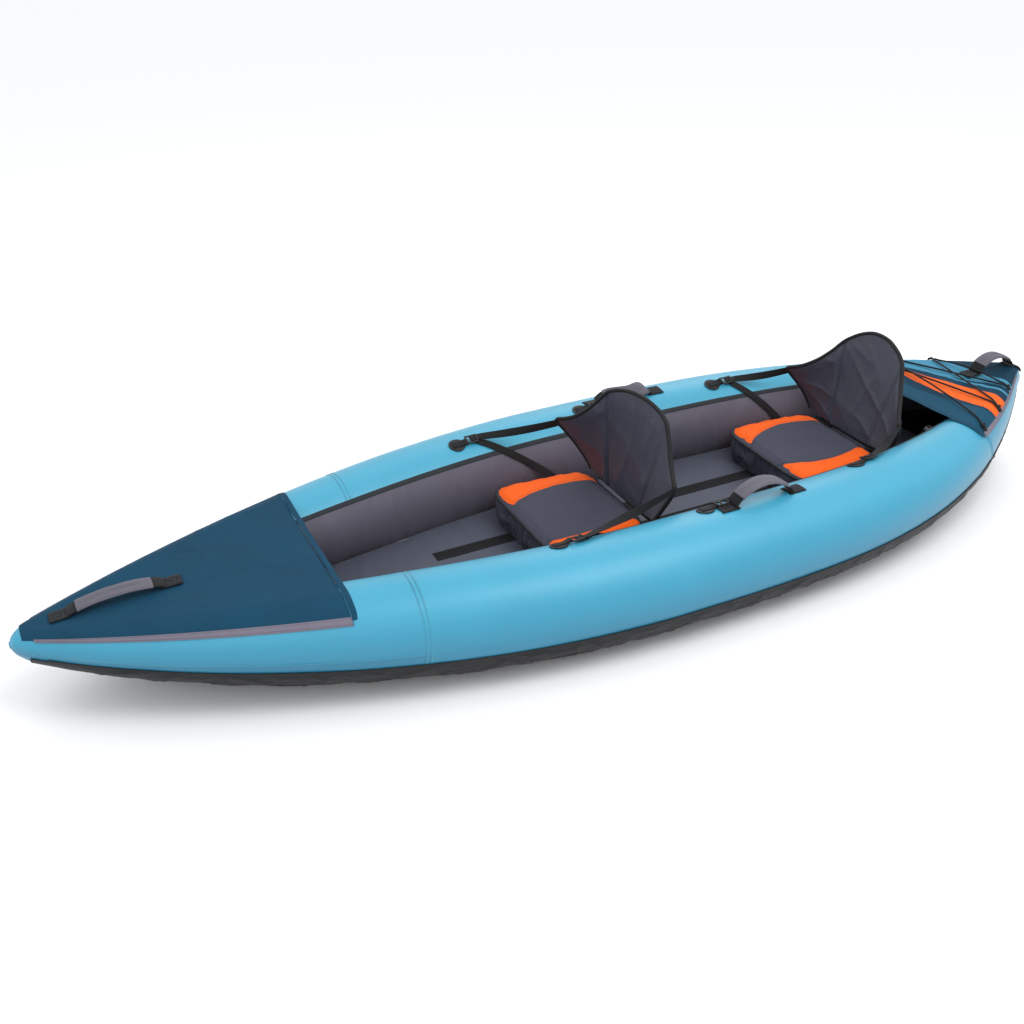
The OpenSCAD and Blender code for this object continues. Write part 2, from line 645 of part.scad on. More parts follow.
// A ribbon of webbing along points; widths gives the way its width lies at each of them
module ribbon(points, widths) {
    n = len(points);
    color("black") sweep([for (i = [0:n - 1]) let (
        c = points[i],
        d = unit(points[min(i + 1, n - 1)] - points[max(i - 1, 0)]),
        w = unit(widths[i] - (widths[i] * d) * d) * strap_width / 2,
        v = unit(cross(d, w)) * webbing / 2)
        [c - w - v, c + w - v, c + w + v, c - w + v]]);
}

// Across a tube's surface, square to the hull's length
function across_tube(a) = sided([0, sin(a[2]), -cos(a[2])], a[1]);

// From an anchor's buckle to the upper corner of a backrest's wing, with a little slack and a half turn
back_strap_ahead = buckle_centre + buckle_length / 2 + 8;
back_strap_lift = 11.5;
slack = 5;
tip_gap = 13;
tip_share = 0.9;
module back_strap(a, b, seat) {
    from = sided(tube_point(a[0] - back_strap_ahead, a[2], back_strap_lift), a[1]);
    tip = back_point(b, seat, a[1], tip_share);
    to = tip + unit(from - tip) * tip_gap;
    up = unit(tip - back_point(b, seat, a[1], tip_share - 0.4));
    ts = spaced(0, 1, 8);
    ribbon([for (t = ts) mix(from, to, t) - [0, 0, slack * sin(180 * t)]],
        [for (t = ts) mix(across_tube(a), -a[1] * up, t)]);
}

// From under an anchor's buckle, round the inside of the tube and on to the side of the cushion
seat_strap_ahead = buckle_centre + buckle_length / 2 - 12;
seat_strap_lift = 5;
seat_strap_share = 0.69;
seat_strap_leave = 158;
seat_strap_end = 26;
seat_strap_top = seat_low + 74;
module seat_strap(a, seat) {
    start_x = a[0] - seat_strap_ahead;
    end_x = seat[0] - seat_strap_share * seat_depth;
    leave_x = mix(start_x, end_x, 0.72);
    side_y = seat[1] + a[1] * (seat_side(seat_strap_share) + 5);
    ts = spaced(0, 1, 8);
    round_tube = [for (t = ts)
        sided(tube_point(mix(start_x, leave_x, t), mix(a[2], seat_strap_leave, t), seat_strap_lift), a[1])];
    turns = [for (t = ts) let (g = mix(a[2], seat_strap_leave, t)) sided([1, -sin(g), cos(g)], a[1])];
    down = [for (z = [seat_strap_top, seat_strap_top - seat_strap_end]) [end_x, side_y, z]];
    ribbon(concat(round_tube, down), concat(turns, [[1, 0, 0], [1, 0, 0]]));
}

module front_port_back_strap() { back_strap(front_port_anchor, front_back, front_seat); }
module front_starboard_back_strap() { back_strap(front_starboard_anchor, front_back, front_seat); }
module rear_port_back_strap() { back_strap(rear_port_anchor, rear_back, rear_seat); }
module rear_starboard_back_strap() { back_strap(rear_starboard_anchor, rear_back, rear_seat); }
module front_port_seat_strap() { seat_strap(front_port_anchor, front_seat); }
module front_starboard_seat_strap() { seat_strap(front_starboard_anchor, front_seat); }
module rear_port_seat_strap() { seat_strap(rear_port_anchor, rear_seat); }
module rear_starboard_seat_strap() { seat_strap(rear_starboard_anchor, rear_seat); }

// ---------- valves ----------

valve_x = -1130;
valve_angle = 150;
valve_height = 9;
cap_radius = 16;
cap_height = 5;
cap_lift = 0.7;
valve_seat = tube_point(valve_x, valve_angle, 1.8);
// Outward normal of the tube's inner face at the valve
valve_normal = unit(cross(tube_point(valve_x, valve_angle + 1, 0) - tube_point(valve_x, valve_angle - 1, 0),
    tube_point(valve_x + 5, valve_angle, 0) - tube_point(valve_x - 5, valve_angle, 0)));

// Places children on the inner face of a tube, their z along its outward normal
module at_side_valve(side) {
    on_side(side) translate(valve_seat)
        rotate([0, acos(valve_normal[2]), atan2(valve_normal[1], valve_normal[0])]) children();
}
module at_floor_valve() { translate([valve_x + 60, 0, floor_height + 0.5]) children(); }

module valve_base() {
    color("dimgray") difference() {
        union() {
            cylinder(r = valve_flange_radius, h = 2.5, $fn = 48);
            cylinder(r = cap_radius - 1, h = valve_height, $fn = 48);
            translate([-cap_radius - 6, -4, 0]) cube([8, 8, valve_height]);
        }
        translate([0, 0, -1]) cylinder(r = valve_bore_radius, h = valve_height + 2, $fn = 48);
    }
}

// A disc on a strap that flips about the edge of its base
module valve_cap() {
    color("black") translate([0, 0, valve_height + cap_lift]) {
        cylinder(r = cap_radius, h = cap_height, $fn = 48);
        translate([-cap_radius - 6, -4, 0]) cube([10, 8, 2.5]);
        translate([cap_radius - 2, -4, 1]) cube([8, 8, 2]);
    }
}

module port_valve_base() { at_side_valve(1) valve_base(); }
module port_valve_cap() { at_side_valve(1) valve_cap(); }
module starboard_valve_base() { at_side_valve(-1) valve_base(); }
module starboard_valve_cap() { at_side_valve(-1) valve_cap(); }
module floor_valve_base() { at_floor_valve() valve_base(); }
module floor_valve_cap() { at_floor_valve() valve_cap(); }

port_tube_bladder();
starboard_tube_bladder();
floor_bladder();
port_outer_cover();
starboard_outer_cover();
port_inner_cover();
starboard_inner_cover();
port_binding();
starboard_binding();
hull_bottom();
floor_cover();
port_floor_strip();
starboard_floor_strip();
bow_deck();
stern_deck();
bow_deck_hem();
stern_deck_hem();
deck_bungee();
bungee_loops();
handle_tabs();
bow_handle_webbing();
bow_handle_grip();
stern_handle_webbing();
stern_handle_grip();
port_handle_webbing();
port_handle_grip();
starboard_handle_webbing();
starboard_handle_grip();
anchor_patches();
anchor_tabs();
front_port_buckle();
front_starboard_buckle();
rear_port_buckle();
rear_starboard_buckle();
middle_port_buckle();
middle_starboard_buckle();
front_seat_cover();
front_seat_pad();
front_seat_welt();
rear_seat_cover();
rear_seat_pad();
rear_seat_welt();
front_backrest();
front_backrest_binding();
rear_backrest();
rear_backrest_binding();
front_port_back_strap();
front_starboard_back_strap();
rear_port_back_strap();
rear_starboard_back_strap();
front_port_seat_strap();
front_starboard_seat_strap();
rear_port_seat_strap();
rear_starboard_seat_strap();
port_valve_base();
port_valve_cap();
starboard_valve_base();
starboard_valve_cap();
floor_valve_base();
floor_valve_cap();
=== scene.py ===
"""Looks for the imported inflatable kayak: fabric skins, seats, straps, handles, camera and light.

All lengths are metres in the CAD frame: +X to the bow, +Y to port, +Z up.
"""

import math
from types import SimpleNamespace

import bmesh
import bpy
import numpy as np
from mathutils import Matrix, Vector, noise
from mathutils.bvhtree import BVHTree


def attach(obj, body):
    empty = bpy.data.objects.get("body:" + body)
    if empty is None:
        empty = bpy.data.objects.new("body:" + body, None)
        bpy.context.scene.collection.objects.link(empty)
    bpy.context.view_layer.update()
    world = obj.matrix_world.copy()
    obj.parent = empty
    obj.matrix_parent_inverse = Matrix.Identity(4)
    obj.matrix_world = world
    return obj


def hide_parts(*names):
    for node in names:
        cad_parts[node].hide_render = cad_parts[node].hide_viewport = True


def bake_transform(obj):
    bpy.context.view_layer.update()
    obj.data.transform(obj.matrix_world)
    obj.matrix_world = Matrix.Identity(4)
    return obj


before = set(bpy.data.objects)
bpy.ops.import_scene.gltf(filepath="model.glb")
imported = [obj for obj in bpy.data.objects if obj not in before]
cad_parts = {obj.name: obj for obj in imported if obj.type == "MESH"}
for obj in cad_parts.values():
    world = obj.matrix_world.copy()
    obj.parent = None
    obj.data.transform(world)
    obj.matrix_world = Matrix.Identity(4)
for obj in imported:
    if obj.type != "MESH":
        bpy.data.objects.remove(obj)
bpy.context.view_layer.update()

# ---------- the hull form, as in the CAD ----------

HALF = 1.7
NOSE = 0.042
HALF_BEAM = 0.536
TUBE_RADIUS = 0.15
AXIS_Z = 0.166
BOW_RISE, STERN_RISE = 0.057, 0.097
FLOOR_Z = 0.103
HEM_ANGLE = 44
BINDING_ANGLE = 133.7
SKIN_ANGLE = -19.5
BOW_DECK_EDGE = 0.896
STERN_DECK_EDGE = -1.232
DECK_OFF = 0.0022
# Thickness of the coated fabric
FABRIC = 0.0014


def share(x):
    return np.abs(x) / HALF


def half_width(x):
    u = np.minimum(share(x), 1)
    bow = HALF_BEAM * (1 - u**1.81) ** 0.935
    stern = HALF_BEAM * (1 - u**3.4) ** 1.13
    return np.where(x > 0, bow, stern) + 0.025


def full_radius(x):
    return TUBE_RADIUS * (1 - np.where(x > 0, 0.75, 0.71) * share(x) ** 2.8)


def radius(x):
    nose = np.maximum(np.abs(x) - (HALF - NOSE), 0) / NOSE
    return full_radius(x) * np.sqrt(np.maximum(1 - nose**2, 0.06))


def axis_y(x):
    return np.maximum(half_width(x) - full_radius(x), 0)


def axis_z(x):
    return AXIS_Z + np.where(x > 0, BOW_RISE, STERN_RISE) * share(x) ** 3.3


def tube(x, angle, off=0.0, side=1):
    """Points of a side tube: angle in degrees, 0 outboard, 90 up, 180 inboard."""
    x, angle, off = np.broadcast_arrays(*(np.asarray(value, float) for value in (x, angle, off)))
    a = np.radians(angle)
    r = radius(x) + off
    y = np.maximum(axis_y(x) + r * np.cos(a), 0.0008)
    return np.stack([x, side * y, axis_z(x) + r * np.sin(a)], -1)


def deck_z(x):
    return axis_z(x) + radius(x) + DECK_OFF


def wall_y(x, z):
    """Inner face of a tube at height z."""
    d = np.clip((axis_z(x) - z) / radius(x), -1, 1)
    return axis_y(x) - radius(x) * np.sqrt(1 - d * d)


# ---------- meshes ----------


def linked(name, data):
    """A new object in the scene."""
    obj = bpy.data.objects.new(name, data)
    bpy.context.scene.collection.objects.link(obj)
    return obj


def unit(vectors):
    return vectors / np.maximum(np.linalg.norm(vectors, axis=-1, keepdims=True), 1e-9)


def lengths(path):
    """The distance along a path at each of its points."""
    return np.concatenate([[0], np.cumsum(np.linalg.norm(np.diff(path, axis=0), axis=1))])


def at_length(rows, s, where):
    """A row between rows, where s is each row's distance along a path."""
    return np.array([np.interp(where, s, rows[:, c]) for c in range(3)])


def per_vertex(obj, what="co"):
    """Each vertex's place, or its normal."""
    values = np.zeros(len(obj.data.vertices) * 3)
    obj.data.vertices.foreach_get(what, values)
    return values.reshape(-1, 3)


def set_coordinates(obj, co):
    obj.data.vertices.foreach_set("co", np.asarray(co, float).ravel())
    obj.data.update()


def noise_at(points, scale, seed=0.0):
    """Smooth noise from -1 to 1 at each point; scale is in waves a metre, one number or three."""
    p = np.asarray(points, float).reshape(-1, 3) * np.asarray(scale, float) + seed
    return np.array([noise.noise(Vector(q)) for q in p]).reshape(np.shape(points)[:-1])


def ridges(points, scale, seed=0.0, sharp=2.0):
    """Narrow folds, 0 to 1."""
    return (1 - np.abs(noise_at(points, scale, seed))) ** (4 * sharp)


def new_object(name, verts, faces, uv=None):
    mesh = bpy.data.meshes.new(name)
    faces = faces.tolist() if hasattr(faces, "tolist") else faces
    mesh.from_pydata(np.asarray(verts, float).reshape(-1, 3).tolist(), [], faces)
    if uv is not None:
        layer = mesh.uv_layers.new(name="UVMap")
        loops = np.zeros(len(mesh.loops), int)
        mesh.loops.foreach_get("vertex_index", loops)
        layer.data.foreach_set("uv", np.asarray(uv, float).reshape(-1, 2)[loops].ravel())
    mesh.polygons.foreach_set("use_smooth", [True] * len(mesh.polygons))
    mesh.update()
    return linked(name, mesh)


def grid_faces(n, m, wrap=False):
    i, j = np.meshgrid(np.arange(n - 1), np.arange(m if wrap else m - 1), indexing="ij")
    k = (j + 1) % m
    return np.stack([i * m + j, (i + 1) * m + j, (i + 1) * m + k, i * m + k], -1).reshape(-1, 4)


def arc_uv(points):
    """Lengths along both ways of a grid of points, in metres."""
    u = np.zeros(points.shape[:2])
    v = np.zeros(points.shape[:2])
    u[1:] = np.cumsum(np.linalg.norm(np.diff(points, axis=0), axis=-1), 0)
    v[:, 1:] = np.cumsum(np.linalg.norm(np.diff(points, axis=1), axis=-1), 1)
    u[:] = u.mean(1, keepdims=True)
    return np.stack([u, v - v.mean(1, keepdims=True)], -1)


def normals_of(points):
    return unit(np.cross(np.gradient(points, axis=1), np.gradient(points, axis=0)))


def rim_of(n, m):
    """The border of an n by m grid, once round."""
    return (
        [i * m for i in range(n)]
        + [(n - 1) * m + j for j in range(1, m)]
        + [i * m + m - 1 for i in range(n - 2, -1, -1)]
        + [j for j in range(m - 2, 0, -1)]
    )


def two_faced(name, outer, inner, uv, flip=False):
    """Two grids of points as one closed piece, joined round their border."""
    n, m = outer.shape[:2]
    size = n * m
    ring = rim_of(n, m)
    edge = []
    for k, a in enumerate(ring):
        b = ring[(k + 1) % len(ring)]
        edge.append([b, a, a + size, b + size] if flip else [a, b, b + size, a + size])
    faces = grid_faces(n, m)
    if flip:
        faces = faces[:, ::-1]
    return new_object(
        name,
        np.concatenate([outer.reshape(-1, 3), inner.reshape(-1, 3)]),
        np.concatenate([faces, faces[:, ::-1] + size, np.array(edge)]),
        np.concatenate([uv.reshape(-1, 2), uv.reshape(-1, 2)]),
    )


def sheet_object(name, points, thick=FABRIC, flip=False, uv=None):
    """A closed sheet: points is its outer face as a grid, thick the distance to its inner face."""
    inner = points - normals_of(points) * (-thick if flip else thick)
    return two_faced(name, points, inner, arc_uv(points) if uv is None else uv, flip)


def frames_along(path, up=(0, 0, 1)):
    """Unit tangent, side and normal at each point of a path; up is one vector or one a point."""
    path = np.asarray(path, float)
    d = unit(np.gradient(path, axis=0))
    w = unit(np.cross(np.broadcast_to(np.asarray(up, float), path.shape), d))
    return d, w, np.cross(d, w)


def swept(name, path, section, side, normal):
    """A closed section, as (side, normal) pairs, carried along a path."""
    path = np.asarray(path, float)
    section = np.asarray(section, float)
    points = path[:, None] + side[:, None] * section[None, :, :1] + normal[:, None] * section[None, :, 1:]
    n, m = points.shape[:2]
    faces = grid_faces(n, m, wrap=True).tolist()
    faces += [list(range(m)), [(n - 1) * m + j for j in range(m - 1, -1, -1)]]
    across = np.linspace(0, 1, m) * 0.05
    uv = np.stack(np.broadcast_arrays(lengths(path)[:, None], across[None, :]), -1)
    return outward(new_object(name, points, faces, uv))


def swept_facing(name, path, section, up=(0, 0, 1)):
    """A section carried along a path with its normal side turned up."""
    _, side, normal = frames_along(path, up)
    return swept(name, path, section, side, normal)


def outward(obj):
    """Turns a closed mesh's faces outward."""
    bm = bmesh.new()
    bm.from_mesh(obj.data)
    bmesh.ops.recalc_face_normals(bm, faces=bm.faces)
    bm.to_mesh(obj.data)
    bm.free()
    return obj


def flat_section(width, thick, n=6):
    """A flat band's section with rounded edges."""
    r = thick / 2
    a = np.linspace(-90, 90, n)
    right = [(width / 2 - r + r * math.cos(math.radians(t)), r * math.sin(math.radians(t))) for t in a]
    left = [(-x, -y) for x, y in right]
    return right + left


def round_section(r, n=12):
    a = np.linspace(0, 2 * np.pi, n, endpoint=False)
    return np.stack([r * np.cos(a), r * np.sin(a)], -1)


def smooth_path(points, n):
    """Catmull-Rom through points, evenly spaced."""
    p = np.asarray(points, float)
    q = np.vstack([2 * p[0] - p[1], p, 2 * p[-1] - p[-2]])
    out = []
    for i in range(1, len(q) - 2):
        t = np.linspace(0, 1, 16, endpoint=False)[:, None]
        a, b, c, d = q[i - 1], q[i], q[i + 1], q[i + 2]
        square, cube = 2 * a - 5 * b + 4 * c - d, 3 * b - 3 * c + d - a
        out.append(0.5 * (2 * b + (c - a) * t + square * t**2 + cube * t**3))
    out = np.vstack(out + [p[-1:]])
    return resample(out, n)


def resample(path, n):
    s = lengths(path)
    t = np.linspace(0, s[-1], n)
    return np.stack([np.interp(t, s, path[:, k]) for k in range(3)], -1)


def smooth_rows(p, times):
    for _ in range(times):
        p = np.vstack([p[:1], (p[:-2] + 2 * p[1:-1] + p[2:]) / 4, p[-1:]])
    return p


def join(objs, name):
    """Joins objects into one."""
    bpy.ops.object.select_all(action="DESELECT")
    for o in objs:
        o.select_set(True)
    bpy.context.view_layer.objects.active = objs[0]
    if len(objs) > 1:
        bpy.ops.object.join()
    objs[0].name = name
    objs[0].data.name = name
    return objs[0]


def applied(obj):
    """The object with its modifiers applied."""
    deps = bpy.context.evaluated_depsgraph_get()
    mesh = bpy.data.meshes.new_from_object(obj.evaluated_get(deps))
    obj.modifiers.clear()
    obj.data = mesh
    return obj


def mirrored(obj, name):
    """A copy on the other side of the hull."""
    twin = obj.copy()
    twin.data = obj.data.copy()
    twin.name = name
    twin.data.name = name
    bpy.context.scene.collection.objects.link(twin)
    twin.data.transform(Matrix.Scale(-1, 4, (0, 1, 0)))
    twin.data.flip_normals()
    return twin


# A stitch's four rings: how far along it, from the middle, and how thick
BEAD = ((-1, 0.35), (-0.5, 1), (0.5, 1), (1, 0.35))
BEAD_RING = [(math.cos(k * 2 * math.pi / 5), math.sin(k * 2 * math.pi / 5)) for k in range(5)]


def bead(verts, faces, ends, normal, r):
    """Adds one stitch through four points."""
    d = unit(ends[3] - ends[0])
    n = unit(normal - d * (normal @ d))
    w = np.cross(d, n)
    base, sides = len(verts), len(BEAD_RING)
    for end, (_, size) in zip(ends, BEAD):
        sunk = 0.6 if size == 1 else 0.0
        verts.extend(end + (w * c + n * q) * r * size + n * r * sunk for c, q in BEAD_RING)
    for a in range(3):
        low = base + a * sides
        faces.extend([low + b, low + (b + 1) % sides, low + sides + (b + 1) % sides, low + sides + b]
                     for b in range(sides))
    faces.append([base + b for b in range(sides - 1, -1, -1)])
    faces.append([base + 3 * sides + b for b in range(sides)])


def stitches(name, paths, normals, pitch=0.006, length=0.004, r=0.00045):
    """Thread stitches lying along lines: one bead each."""
    verts, faces = [], []
    for path, along in zip(paths, normals):
        s = lengths(path)
        for k in range(int(s[-1] / pitch)):
            middle = (k + 0.5) * pitch
            ends = [at_length(path, s, middle + e * length / 2) for e, _ in BEAD]
            normal = at_length(along, s, middle)
            bead(verts, faces, ends, normal, r)
    return new_object(name, verts, faces)


# ---------- materials ----------


def rgb(r, g, b):
    """sRGB 0-255 to linear."""
    def lin(c):
        c /= 255
        return c / 12.92 if c <= 0.04045 else ((c + 0.055) / 1.055) ** 2.4
    return (lin(r), lin(g), lin(b), 1.0)


class Nodes:
    """A small helper for building a material's nodes."""

    def __init__(self, name):
        self.mat = bpy.data.materials.new(name)
        self.mat.use_nodes = True
        self.tree = self.mat.node_tree
        self.bsdf = self.tree.nodes["Principled BSDF"]
        self.coords = self.tree.nodes.new("ShaderNodeTexCoord")

    def link(self, a, b):
        self.tree.links.new(a, b)

    def split(self, where):
        """The x, y and z of a kind of coordinates."""
        n = self.tree.nodes.new("ShaderNodeSeparateXYZ")
        self.link(self.coords.outputs[where], n.inputs[0])
        return n.outputs

    def math(self, op, a, b):
        n = self.tree.nodes.new("ShaderNodeMath")
        n.operation = op
        for k, v in enumerate((a, b)):
            if isinstance(v, (int, float)):
                n.inputs[k].default_value = v
            else:
                self.link(v, n.inputs[k])
        return n.outputs[0]

    def mix(self, factor, a, b):
        n = self.tree.nodes.new("ShaderNodeMix")
        n.data_type = "RGBA"
        for value, socket in ((factor, n.inputs[0]), (a, n.inputs[6]), (b, n.inputs[7])):
            if hasattr(value, "links"):
                self.link(value, socket)
            else:
                socket.default_value = value
        return n.outputs[2]

    def ramp(self, value, low, high):
        n = self.tree.nodes.new("ShaderNodeMapRange")
        n.clamp = True
        self.link(value, n.inputs[0])
        n.inputs[1].default_value, n.inputs[2].default_value = low, high
        return n.outputs[0]

    def noise(self, scale, detail=2.0, where="Object", stretch=None, rough=0.5):
        n = self.tree.nodes.new("ShaderNodeTexNoise")
        n.inputs["Scale"].default_value = scale
        n.inputs["Detail"].default_value = detail
        n.inputs["Roughness"].default_value = rough
        source = self.coords.outputs[where]
        if stretch:
            m = self.tree.nodes.new("ShaderNodeMapping")
            m.inputs["Scale"].default_value = stretch
            self.link(source, m.inputs["Vector"])
            source = m.outputs[0]
        self.link(source, n.inputs["Vector"])
        return n.outputs["Fac"]

    def weave(self, threads, where="UV"):
        """Over-and-under threads, 0 to 1."""
        waves = []
        for along in self.split(where)[:2]:
            waves.append(self.math("SINE", self.math("MULTIPLY", along, threads * 2 * math.pi), 0.0))
        return self.math("ADD", self.math("MULTIPLY", self.math("MULTIPLY", waves[0], waves[1]), 0.5), 0.5)

    def bump(self, height, distance, strength=1.0, under=None):
        n = self.tree.nodes.new("ShaderNodeBump")
        n.inputs["Distance"].default_value = distance
        n.inputs["Strength"].default_value = strength
        self.link(height, n.inputs["Height"])
        if under is not None:
            self.link(under, n.inputs["Normal"])
        return n.outputs[0]


def shade(colour, k):
    return tuple(min(c * k, 1) for c in colour[:3]) + (1.0,)


def cloth(name, colour, rough=0.6, sheen=0.15, threads=900, where="UV", crease=0.4, vary=0.12, coat=0.0,
          paint=None, gloss=0.35, crease_scale=22, stretch=None, weave_depth=0.00012):
    """Coated or woven fabric: weave, soft creases, uneven colour and gloss.

    paint(nodes, colour) may recolour it.
    """
    m = Nodes(name)
    b = m.bsdf
    big = m.noise(6, 3)
    small = m.noise(90, 2)
    tone = m.math("ADD", m.math("MULTIPLY", big, 0.65), m.math("MULTIPLY", small, 0.35))
    plain = m.mix(m.ramp(tone, 0.3, 0.7), shade(colour, 1 - vary), shade(colour, 1 + vary))
    if paint:
        plain = paint(m, plain)
    weave = m.weave(threads, where)
    threaded = m.mix(m.math("MULTIPLY", weave, 0.10), plain, shade(colour, 0.55))
    m.link(threaded, b.inputs["Base Color"])
    m.link(m.math("ADD", m.math("MULTIPLY", tone, 0.16), rough - 0.08), b.inputs["Roughness"])
    b.inputs["Sheen Weight"].default_value = sheen
    b.inputs["Sheen Roughness"].default_value = 0.45
    b.inputs["Specular IOR Level"].default_value = gloss
    b.inputs["Coat Weight"].default_value = coat
    b.inputs["Coat Roughness"].default_value = 0.35
    folds = m.noise(crease_scale, 4, stretch=stretch, rough=0.55)
    under = m.bump(folds, 0.004 * crease, 0.6)
    m.link(m.bump(weave, weave_depth, 0.5, under), b.inputs["Normal"])
    return m.mat


def plastic(name, colour, rough=0.42):
    """Moulded plastic with a fine grain."""
    m = Nodes(name)
    b = m.bsdf
    grain = m.noise(900, 2)
    big = m.noise(30, 2)
    m.link(m.mix(m.ramp(big, 0.3, 0.7), shade(colour, 0.85), shade(colour, 1.2)), b.inputs["Base Color"])
    m.link(m.math("ADD", m.math("MULTIPLY", big, 0.15), rough - 0.07), b.inputs["Roughness"])
    m.link(m.bump(grain, 0.00015, 0.4), b.inputs["Normal"])
    return m.mat


def webbing_material(name, colour, rough=0.75, threads=420):
    """Woven webbing: ribs along its length and picks across it."""
    m = Nodes(name)
    b = m.bsdf
    weave = m.weave(threads)
    big = m.noise(40, 3)
    ribs = m.mix(m.math("MULTIPLY", weave, 0.6), shade(colour, 1.5), shade(colour, 0.6))
    m.link(ribs, b.inputs["Base Color"])
    m.link(m.math("ADD", m.math("MULTIPLY", big, 0.15), rough - 0.07), b.inputs["Roughness"])
    b.inputs["Sheen Weight"].default_value = 0.06
    b.inputs["Sheen Roughness"].default_value = 0.5
    b.inputs["Specular IOR Level"].default_value = 0.25
    m.link(m.bump(weave, 0.0005, 0.6), b.inputs["Normal"])
    return m.mat


# ---------- making pieces ----------


def place(obj, material, body, slot, *nodes):
    """Gives a piece its material and body, and hides the CAD nodes that it stands for; slot is not used."""
    obj.data.materials.clear()
    obj.data.materials.append(material)
    if body:
        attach(obj, body)
    if nodes:
        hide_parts(*nodes)
    return obj


def bent(obj, material, other, start, end, slot, *nodes):
    """A piece that runs between the hull and another body: it gets its material, hides its CAD nodes and has
    its place baked into its mesh.
    """
    place(obj, material, None, slot, *nodes)
    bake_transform(obj)
    return obj


def both_sides(build, material, slot, name, *nodes):
    """Builds the port piece, mirrors it, and lets both ride on the hull."""
    port = build("port_" + name)
    twin = mirrored(port, "starboard_" + name)
    place(port, material, "hull", slot, *["port_" + n for n in nodes])
    place(twin, material, "hull", slot, *["starboard_" + n for n in nodes])
    return port, twin


# ---------- materials of the boat ----------

BLUE = rgb(60, 156, 186)
DEEP_BLUE = rgb(34, 112, 144)
STERN_BLUE = rgb(46, 134, 166)
# Painted shade: the darker blue that the tube's side fades to towards its bottom, where the real fabric is
# one blue
PAINTED_SHADE_BLUE = rgb(38, 122, 154)
# Where the stern's ring seam would cross the tube's outer side
STERN_SEAM_X = -1.274


def tube_paint(m, plain):
    """Deeper blue aft of the stern seam and under the nose's seam, and painted shade down the side: darker
    towards the bottom, where the real tube is one colour. The UVs are x and the length round the tube."""
    x, up = m.split("UV")[:2]
    seam = m.math("ADD", m.math("MULTIPLY", up, 0.275), STERN_SEAM_X)
    aft = m.math("LESS_THAN", x, seam)
    plain = m.mix(m.math("MULTIPLY", aft, 0.75), plain, STERN_BLUE)
    # Painted shade: the tube's colour darkens towards the bottom of its side, standing in for the shade there
    down = m.math("SUBTRACT", 1.0, m.ramp(up, -0.02, 0.13))
    plain = m.mix(m.math("MULTIPLY", down, 0.85), plain, PAINTED_SHADE_BLUE)
    low = m.math("MULTIPLY", m.math("LESS_THAN", up, -0.012), m.math("GREATER_THAN", x, 0.72))
    return m.mix(m.math("MULTIPLY", low, 0.55), plain, DEEP_BLUE)


# The stern deck's stripes, each between two curves x = a + b y + c y^2
STRIPES = [
    ((-1.240, -0.12, -0.9), (-1.10, 0, 0), rgb(22, 72, 96)),
    ((-1.366, -0.40, 0), (-1.281, -0.06, -0.65), rgb(238, 100, 28)),
    ((-1.418, -0.40, -0.5), (-1.402, -0.40, -0.5), rgb(70, 138, 168)),
    ((-1.522, -0.26, 0), (-1.424, -0.62, 0), rgb(70, 138, 168)),
]


def stripe_paint(m, plain):
    """The stern deck's stripes run from side to side, and further aft towards port."""
    x, y = m.split("Object")[:2]
    square = m.math("MULTIPLY", y, y)
    for aft, fore, colour in STRIPES:
        inside = None
        for (a, b, c), test in ((aft, "GREATER_THAN"), (fore, "LESS_THAN")):
            edge = m.math("ADD", m.math("ADD", m.math("MULTIPLY", y, b), a), m.math("MULTIPLY", square, c))
            side = m.math(test, x, edge)
            inside = side if inside is None else m.math("MULTIPLY", inside, side)
        plain = m.mix(m.math("MULTIPLY", inside, 0.94), plain, colour)
    return plain


def side_paint(m, plain, borders):
    """Orange outside a cushion's two borders, which are curves in x."""
    x, y = m.split("Object")[:2]
    outside = None
    for (a, b, c, x0), sign in zip(borders, (-1, 1)):
        t = m.math("SUBTRACT", x, x0)
        curve = m.math("MULTIPLY", m.math("MULTIPLY", t, t), c)
        edge = m.math("ADD", a, m.math("ADD", m.math("MULTIPLY", t, b), curve))
        side = m.math("GREATER_THAN", m.math("MULTIPLY", m.math("SUBTRACT", y, edge), sign), 0.0)
        outside = side if outside is None else m.math("MAXIMUM", outside, side)
    return m.mix(outside, plain, ORANGE)


ORANGE = rgb(236, 94, 22)
SLATE = rgb(66, 67, 80)
CHARCOAL = rgb(53, 55, 69)
GUSSET_GREY = rgb(60, 63, 75)
DECK_CLOTH = {"rough": 0.7, "sheen": 0.0, "threads": 900, "crease": 0.8, "gloss": 0.12, "crease_scale": 12}

